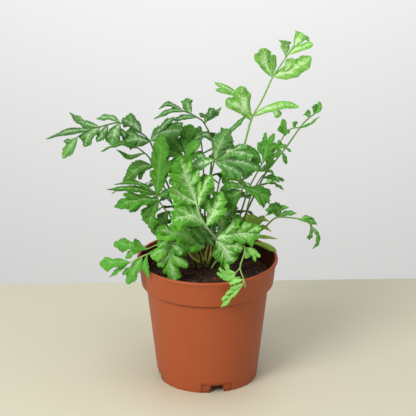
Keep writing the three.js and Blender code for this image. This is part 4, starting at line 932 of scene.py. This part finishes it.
def makeBackFrond(number, settings, leafMaterials, stalkMaterials):
    out = Vector((*onCircle(1, math.radians(settings["lean"])), 0))
    aside = Vector((-out.y, out.x, 0))
    feet = footOf(settings["bearing"], settings["foot"])

    def at(share):
        point = feet[1] + out * settings["reach"] * mm * share ** 1.5
        point.z += settings["rise"] * math.sin(share * 1.9) * mm
        return point

    def upward(point):
        return (Vector((0, 0, 1)) + out * 0.7).normalized()

    bm, layers = newLeafMesh()
    route = feet + [at(share) for share in backLeaves["knots"]]
    addTube(bm, route, *backLeaves["radius"], 1, facing=aside)
    leafKind, stalkKind, styleName, silver, tone = tones[settings["tone"]]
    longest, less = backLeaves["sideLength"]
    sides = [(share, turn, longest + share * less, backLeaves["sideWidth"])
             for share, turn in backLeaves["sides"]]
    for share, turn, longer, wide in [*sides, backLeaves["tip"]]:
        length = settings["leaf"] * mm * longer
        heading = out * math.cos(turn) + aside * math.sin(turn)
        midrib = [at(share) + heading * length * along + Vector((0, 0, length * up))
                  for along, up in ((0, 0), backLeaves["middle"], backLeaves["end"])]
        addLeaf(bm, layers, midrib, settings["leaf"] * mm * wide, 3, upward, 0, leafStyles[styleName],
                silver=silver, tone=tone)
    finishFrond(f"back_{number}", bm, leafMaterials[leafKind], stalkMaterials[stalkKind])


pot = {
    "lip": 54, "height": 97, "collar": 50.4, "collarFoot": 77, "wall": 1.4, "floor": 3.8,
    "base": 38.6, "baseHeight": 2, "wallTop": 46.2, "wallTopHeight": 70,     # radii and their heights
    "hollow": 1.8, "pad": 6, "overNotches": 10, "sides": 144, "notches": 4, "notchTurn": -79,
    "slot": (8.7, 12.2, 6.3, 9), "recess": (23, 25.5, 6.9, 0.8),   # top, foot, height and depth
}
potFinish = {                  # colours, and heights on the pot
    # the dark inside colour here, and the heights, share and edge for it below, are painted shade on the
    # pot's inner wall
    "plastic": (0.41, 0.084, 0.021), "insideShade": (0.05, 0.013, 0.005), "cornerShade": (0.1, 0.022, 0.008),
    "insideShadeFrom": 79, "insideShadeTo": 96.2, "insideShadeShare": 0.88,
    # the corner's height, half width and share here, and its colour above, are painted shade under the
    # collar's step
    "corner": 74.8, "cornerHalf": 1.6, "cornerShadeShare": 0.42, "grain": 900.0, "rough": (0.2, 0.36),
    "wallEdge": 4000.0, "insideShadeEdge": 3000.0, "softEdge": 900.0,
    "line": (77, 0.125, 49.7),         # the collar's middle: a height, its slope and its radius there
}


def potWall(height):
    low, high = pot["baseHeight"], pot["wallTopHeight"]
    return pot["base"] + (pot["wallTop"] - pot["base"]) * (height - low) / (high - low)


def spinOutline(bm, outline, sides):
    start = [bm.verts.new((r * mm, 0, z * mm)) for r, z in outline]
    edges = [bm.edges.new(pair) for pair in zip(start, start[1:])]
    bmesh.ops.spin(bm, geom=start + edges, cent=(0, 0, 0), axis=(0, 0, 1), angle=2 * math.pi,
                   steps=sides, use_merge=True)
    bmesh.ops.remove_doubles(bm, verts=bm.verts, dist=1e-6)


def roundCorner(before, corner, after, radius, steps=4):
    before, corner, after = (Vector(point[:2]) for point in (before, corner, after))
    start, end = (corner.lerp(other, min(radius / (other - corner).length, 0.5))
                  for other in (before, after))
    shares = [step / steps for step in range(steps + 1)]
    return [start.lerp(corner, share).lerp(corner.lerp(end, share), share) for share in shares]


# A cutter that follows the round wall: wide at the foot, narrower at its top.
def notchCutter(size, azimuth, steps=12):
    top, foot, height, depth = size
    bm = bmesh.new()
    rows = []
    for step in range(steps + 1):
        share = step / steps - 0.5
        low, high = foot * share, top * share
        row = []
        for x, z, inside in ((low, -1, 1), (high, height, 1), (high, height, 0), (low, -1, 0)):
            reach = potWall(z) - depth if inside else pot["base"] + 8
            row.append(bm.verts.new((x * mm, math.sqrt(reach * reach - x * x) * mm, z * mm)))
        rows.append(row)
    for one, other in zip(rows, rows[1:]):
        for side in range(4):
            after = (side + 1) % 4
            bm.faces.new((one[side], one[after], other[after], other[side]))
    bm.faces.new(rows[0])
    bm.faces.new(rows[-1])
    turn = Matrix.Rotation(math.radians(azimuth - 90), 3, "Z")
    bmesh.ops.rotate(bm, verts=bm.verts, cent=(0, 0, 0), matrix=turn)
    return finishMesh("notchCutter", bm, [])


def makePotMaterial(mottle):
    material, tree, shader = newMaterial("terracottaPlastic", Specular_IOR_Level=0.4)
    where = objectPlace(tree)
    spotted = addMottle(tree, mottle, potFinish["plastic"], scale=60.0, amount=0.16)
    axes = splitVector(tree, where)
    squares = [calc(tree, "MULTIPLY", axes[axis], axes[axis]) for axis in ("X", "Y")]
    radius = calc(tree, "SQRT", calc(tree, "ADD", *squares))
    # painted shade on the wall's inside over the soil, up to just under the rim
    height, slope, middle = potFinish["line"]
    line = calc(tree, "SUBTRACT", axes["Z"], height * mm)
    line = calc(tree, "MULTIPLY_ADD", line, slope, middle * mm)
    inside = overBy(tree, line, radius, potFinish["wallEdge"])
    above = overBy(tree, axes["Z"], potFinish["insideShadeFrom"] * mm, potFinish["insideShadeEdge"])
    below = overBy(tree, potFinish["insideShadeTo"] * mm, axes["Z"], potFinish["softEdge"])
    insideShade = calc(tree, "MULTIPLY", calc(tree, "MULTIPLY", inside, above),
                 calc(tree, "MULTIPLY", below, potFinish["insideShadeShare"]))
    insideShaded = mixColor(tree, insideShade, spotted["Color"], potFinish["insideShade"])
    # painted shade in the corner under the collar, standing in for the shadow of the collar's step
    gap = calc(tree, "ABSOLUTE", calc(tree, "SUBTRACT", axes["Z"], potFinish["corner"] * mm))
    corner = overBy(tree, potFinish["cornerHalf"] * mm, gap, potFinish["softEdge"])
    corner = calc(tree, "MULTIPLY", corner, potFinish["cornerShadeShare"])
    setInputs(tree, shader, {
        "Base Color": mixColor(tree, corner, insideShaded, potFinish["cornerShade"]),
        "Roughness": calc(tree, "MULTIPLY_ADD", spotted["Mask"], *potFinish["rough"]),
    })
    addBump(tree, shader, addNoise(tree, where, potFinish["grain"], 2.0), strength=0.12, depth=0.1)
    return material


def makePot(mottle):
    lip, top, collar, foot, base = (pot[name] for name in ("lip", "height", "collar", "collarFoot", "base"))
    wall, floor, low, hollow = pot["wall"], pot["floor"], pot["baseHeight"], pot["hollow"]
    ring, pad = pot["overNotches"], pot["pad"]
    corners = [                # radius, height and how far the corner is rounded
        (0, floor, 0), (potWall(floor) - wall, floor, 2), (potWall(foot) - wall, foot + 0.2, 0.8),
        (collar - wall, foot + 1.4, 0.8), (lip - 3.5, top - 8, 3), (lip - 2.4, top - 3, 1.5),
        (lip - 2.3, top - 0.1, 1.1), (lip - 0.2, top - 0.1, 1.1), (lip, top - 2.2, 1),
        (lip - 0.9, top - 2.7, 0.5), (lip - 2.1, top - 8, 3), (collar, foot - 0.5, 0.8),
        (potWall(foot - 1.8) + 0.2, foot - 1.2, 0.4), (potWall(foot - 3), foot - 3, 1.2),
        (potWall(ring), ring, 0.4), (potWall(low), low, 1), (base - 0.7, 0, 0.5), (base - 3.6, 0, 0.5),
        (base - 4.6, hollow, 0.5), (pad + 0.6, hollow, 0.3), (pad, 0, 0.3), (0, 0, 0),
    ]
    outline = [corners[0][:2]]
    for before, corner, after in zip(corners, corners[1:], corners[2:]):
        outline += roundCorner(before, corner, after, corner[2])
    outline.append(corners[-1][:2])
    bm = bmesh.new()
    spinOutline(bm, outline, pot["sides"])
    piece = finishMesh("nursery_pot", bm, [makePotMaterial(mottle)], sharp=50)
    cutters = []
    for count in range(pot["notches"]):
        azimuth = pot["notchTurn"] + count * 360 / pot["notches"]
        cutters += [notchCutter(pot["recess"], azimuth), notchCutter(pot["slot"], azimuth)]
    for cutter in cutters:
        cut = piece.modifiers.new("notch", "BOOLEAN")
        cut.operation = "DIFFERENCE"
        cut.solver = "MANIFOLD"
        cut.object = cutter
    evaluated = piece.evaluated_get(bpy.context.evaluated_depsgraph_get())
    mesh = bpy.data.meshes.new_from_object(evaluated)
    piece.modifiers.clear()
    piece.data = mesh
    for cutter in cutters:
        bpy.data.objects.remove(cutter)
    addPiece(piece, "pot", "pot")


soil = {
    "edge": 48.3, "below": [(0, 4.4), (36.5, 4.4), (44.6, 78.4), (47.6, 79.6), (48.3, 83)],
    "around": 200, "rings": 64, "clods": 2.6, "crumbs": 1.1,
    "bits": 800, "bitStretch": ((0.6, 2.1), (0.5, 1.0), (0.35, 0.8)),
    "bitShades": (0, 0, 0, 1, 2, 2, 2, 2, 2),
    "fibres": 110, "fibreStep": (0.9, 2.2), "fibreRadius": (0.2, 0.12),
    "color": (0.034, 0.018, 0.01), "patches": (0.13, 0.048, 0.024),
}
bitColors = {"barkBits": (0.1, 0.045, 0.025), "paleBits": (0.13, 0.07, 0.04),
             "darkBits": (0.022, 0.014, 0.01)}


# Slow lumps, clods and crumbs, on a surface that is a little lower to the edge.
def soilHeight(x, y):
    lumps = 0.9 * math.sin(x * 0.31 + 1.3) * math.cos(y * 0.27 - 0.4)
    lumps += 0.6 * math.sin(x * 0.13 - y * 0.42) + 0.4 * math.cos(x * 0.55 + y * 0.2)
    clods = abs(noise.noise(Vector((x * 0.16, y * 0.16, 3)))) * soil["clods"]
    crumbs = noise.noise(Vector((x * 0.7, y * 0.7, 9))) * soil["crumbs"]
    crumbs += noise.noise(Vector((x * 1.7, y * 1.7, 5))) * soil["crumbs"] * 0.5
    return plant["soilLevel"] + lumps * 0.6 - 0.0012 * (x * x + y * y) + clods + crumbs - 0.9


def makeSoilMaterial(mottle):
    material, tree, shader = newMaterial("pottingSoil", Roughness=0.93, Specular_IOR_Level=0.25)
    spotted = addMottle(tree, mottle, soil["color"], scale=180.0, amount=3.0)
    red = overBy(tree, addNoise(tree, objectPlace(tree), 90.0, 3.0), 0.5, 6.0)
    setInputs(tree, shader, {"Base Color": mixColor(tree, red, spotted["Color"], soil["patches"])})
    addBump(tree, shader, spotted["Mask"], strength=0.8, depth=0.6)
    return material


def makeBitMaterials():
    made = []
    for name, shade in bitColors.items():
        material, tree, shader = newMaterial(name, Roughness=0.9)
        grain = addNoise(tree, objectPlace(tree), 700.0, 3.0)
        dark, light = (tuple(part * share for part in shade) for share in (0.4, 1.7))
        setInputs(tree, shader, {"Base Color": mixColor(tree, grain, dark, light)})
        addBump(tree, shader, grain, strength=0.6, depth=0.3)
        made.append(material)
    return made


def makeSoil(mottle):
    below = soil["below"]
    rows = len(below) + soil["rings"] - 1
    bm = bmesh.new()
    grid = bmesh.ops.create_grid(bm, x_segments=soil["around"], y_segments=rows, size=1)["verts"]
    for vert in grid:
        angle = math.pi * (vert.co.x + 1)
        row = round((vert.co.y + 1) / 2 * rows)
        if row < len(below):
            radius, height = below[row]
            x, y = onCircle(radius, angle)
        else:
            x, y = onCircle(soil["edge"] * (rows - row) / soil["rings"], angle)
            height = soilHeight(x, y)
        vert.co = Vector((x, y, height)) * mm
    bmesh.ops.remove_doubles(bm, verts=grid, dist=1e-6)
    piece = finishMesh("potting_soil", bm, [makeSoilMaterial(mottle)], sharp=180)
    addPiece(piece, "soil", "soil")


def makeSoilBits():
    bm = bmesh.new()
    for count in range(soil["bits"]):
        x, y = onCircle(soil["edge"] * 0.97 * math.sqrt(draws.random()), draws.uniform(0, 2 * math.pi))
        size = 0.3 + draws.random() ** 2
        chip = bmesh.ops.create_icosphere(bm, subdivisions=1, radius=size * mm)["verts"]
        stretch = Vector([draws.uniform(*ends) for ends in soil["bitStretch"]])
        turn = Matrix.Rotation(draws.uniform(0, 6.28), 3, "Z")
        centre = Vector((x, y, soilHeight(x, y) + size * 0.15)) * mm
        shade = draws.choice(soil["bitShades"])
        for vert in chip:
            vert.co = centre + turn @ (vert.co * stretch * draws.uniform(0.8, 1.2))
        for face in facesOf(chip):
            face.material_index = shade
    for count in range(soil["fibres"]):
        x, y = onCircle(soil["edge"] * 0.9 * math.sqrt(draws.random()), draws.uniform(0, 6.28))
        heading = draws.uniform(0, 6.28)
        points = []
        for step in range(4):
            across, along = onCircle(step * draws.uniform(*soil["fibreStep"]), heading + step * 0.3)
            if math.hypot(x + across, y + along) < soil["edge"] - 0.5:
                height = soilHeight(x + across, y + along) + 0.35
                points.append(Vector((x + across, y + along, height)) * mm)
        if len(points) > 2:
            addTube(bm, points, *soil["fibreRadius"], draws.choice((0, 1)), sides=5, pitch=1.2)
    piece = finishMesh("soil_bits", bm, makeBitMaterials(), sharp=50)
    addPiece(piece, "soil")


crown = {
    "radius": 5.1, "shootRadius": (1.05, 0.6), "stubRadius": (0.95, 0.6),
    "scales": 70, "scaleRadius": (0.3, 0.06), "scaleLean": (0.2, 0.45), "scaleHeight": (1.2, 2.4),
    "noise": {420: 0.7, 1100: 0.3},    # share of each scale in the knob's uneven side
    "outline": [(0, -1.8), (5.2, -1.8), (5.4, 0.6), (4.6, 3), (3.2, 4.6), (1.6, 5.3), (0, 5.5)],
    "stubs": [(-3.4, -2, 11, -0.3), (1.1, -3.6, 12, 0.1), (3.4, -0.8, 9, 0.3), (-0.8, 2.2, 12, 0.2),
              (-1.6, -3.8, 14, -0.2), (2.6, -2.8, 11, 0.25), (-3.8, 0.4, 10, -0.2), (2, 2.6, 9, 0.2)],
    "shoots": [
        [(-1.5, 89, -6), (-2.6, 93, -3), (-4.4, 98, -1), (-6.5, 104, 0), (-7, 110, 0)],
        [(-1, 88.4, -6), (-1.4, 94, -2), (-1.2, 99, 0), (0.2, 105, 0), (0.8, 111, 0)],
        [(-2, 90, -7), (-4, 93, -4), (-7.5, 98, -2), (-10.5, 103.5, -2), (-12, 108, -2)],
        [(0, 90, -6), (1.2, 93.5, -4), (2.2, 98, -3), (2.8, 104, -3), (3, 110, -3)],
        [(-2.4, 90, -7), (-5.6, 92.5, -4), (-10, 95, -2), (-14, 99.5, -1), (-16, 104, 0)],
    ],
}
# the youngShoots colour is much paler than the shoots' own green: painted light, for shoots that stand in
# shade under the leaves
crownColors = {"crownBrown": (0.09, 0.045, 0.02), "dryStubs": (0.28, 0.17, 0.07),
               "crownScales": (0.14, 0.065, 0.03), "youngShoots": (0.85, 0.9, 0.2)}


def makeCrownMaterials(mottle):
    made = []
    for name, color in crownColors.items():
        material, tree, shader = newMaterial(name, Roughness=0.85)
        spotted = addMottle(tree, mottle, color, scale=350.0, amount=1.6)
        setInputs(tree, shader, {"Base Color": spotted["Color"]})
        addBump(tree, shader, spotted["Mask"], strength=0.6, depth=0.3)
        made.append(material)
    return made


def makeCrown(mottle):
    level = plant["soilLevel"]
    centre = Vector((*plant["crown"], level))
    bm = bmesh.new()
    spinOutline(bm, [(radius, level + height) for radius, height in crown["outline"]], 40)
    bmesh.ops.subdivide_edges(bm, edges=bm.edges[:], cuts=1, use_grid_fill=True)
    for vert in bm.verts:
        away = sum(noise.noise(vert.co * scale) * share for scale, share in crown["noise"].items())
        flat = Vector((vert.co.x, vert.co.y, 0))
        if flat.length > 1e-6 and vert.co.z > (level - 1) * mm:
            vert.co += flat.normalized() * (away - 0.5) * mm
    bmesh.ops.translate(bm, verts=bm.verts, vec=(centre.x * mm, centre.y * mm, 0))
    # dry feet of old stalks
    for dx, dy, height, slant in crown["stubs"]:
        points = [(dx, dy, 0), (dx * 1.05, dy * 1.05, height * 0.5),
                  (dx * 1.1 + slant * 4, dy * 1.1, height)]
        addTube(bm, [(centre + Vector(point)) * mm for point in points], *crown["stubRadius"], 1, pitch=1)
    for shoot in crown["shoots"]:
        addTube(bm, [seen(point) for point in shoot], *crown["shootRadius"], 3, pitch=1)
    # papery scales round the knob
    for count in range(crown["scales"]):
        angle = draws.uniform(0, 6.28)
        low = draws.uniform(0, 3.4)
        out = Vector((*onCircle(1, angle), 0))
        foot = centre + out * (crown["radius"] - low * 0.8) + Vector((0, 0, low))
        lean = out * draws.uniform(*crown["scaleLean"])
        tip = foot + lean + Vector((0, 0, draws.uniform(*crown["scaleHeight"])))
        points = [foot * mm, (foot.lerp(tip, 0.6) + out * 0.25) * mm, tip * mm]
        addTube(bm, points, *crown["scaleRadius"], 2, sides=5, pitch=0.8)
    addPiece(finishMesh("fern_crown", bm, makeCrownMaterials(mottle)), "crown", "crown")


def plainMaterial(name, color, roughness):
    material, tree, shader = newMaterial(name, Roughness=roughness, Specular_IOR_Level=0.3)
    light = tuple(min(part * 1.03, 1) for part in color)
    cloudy = mixColor(tree, addNoise(tree, objectPlace(tree), 2.0, 1.0), color, light)
    setInputs(tree, shader, {"Base Color": cloudy})
    return material


def makeStage():
    sizes = stageSizes
    tilt = math.radians(sizes["floorTilt"])
    bm = bmesh.new()
    slab = bmesh.ops.create_cube(bm, size=1)["verts"]
    for vert in slab:
        x = vert.co.x * sizes["floorWidth"]
        y = sizes["floorBack"] + (vert.co.y - 0.5) * sizes["floorDepth"]
        vert.co = Vector((x, y + x * math.tan(tilt), (vert.co.z - 0.5) * sizes["floorThick"]))
    bmesh.ops.bevel(bm, geom=bm.edges[:], offset=sizes["floorEdge"], offset_type="OFFSET", segments=3,
                    profile=0.5, affect="EDGES", material=-1)
    floor = finishMesh("stageFloor", bm, [plainMaterial("paleFloor", sizes["floorColor"], 0.6)])
    bm = bmesh.new()
    bmesh.ops.create_grid(bm, x_segments=1, y_segments=1, size=1)
    for vert in bm.verts:
        x, z = vert.co.x * sizes["wallWidth"] / 2, vert.co.y * sizes["wallHeight"] / 2
        vert.co = Vector((x, sizes["wallAway"], z))
    wall = finishMesh("stageWall", bm, [plainMaterial("greyWall", sizes["wallColor"], 0.9)])


makeCamera()
makeLights()
makeStage()
mottleGroup = makeMottle()
makePot(mottleGroup)
makeSoil(mottleGroup)
makeSoilBits()
makeCrown(mottleGroup)
print("pot, soil and crown made")
leafPattern = makeLeafPattern()
leaves = makeLeafMaterials(leafPattern)
stalks = makeStalkMaterials(mottleGroup)
for frondName, frondSettings in fronds.items():
    makeFrond(frondName, frondSettings, leaves, stalks)
for frondNumber, frondSettings in enumerate(backFronds, 1):
    makeBackFrond(frondNumber, frondSettings, leaves, stalks)
print("fronds made")
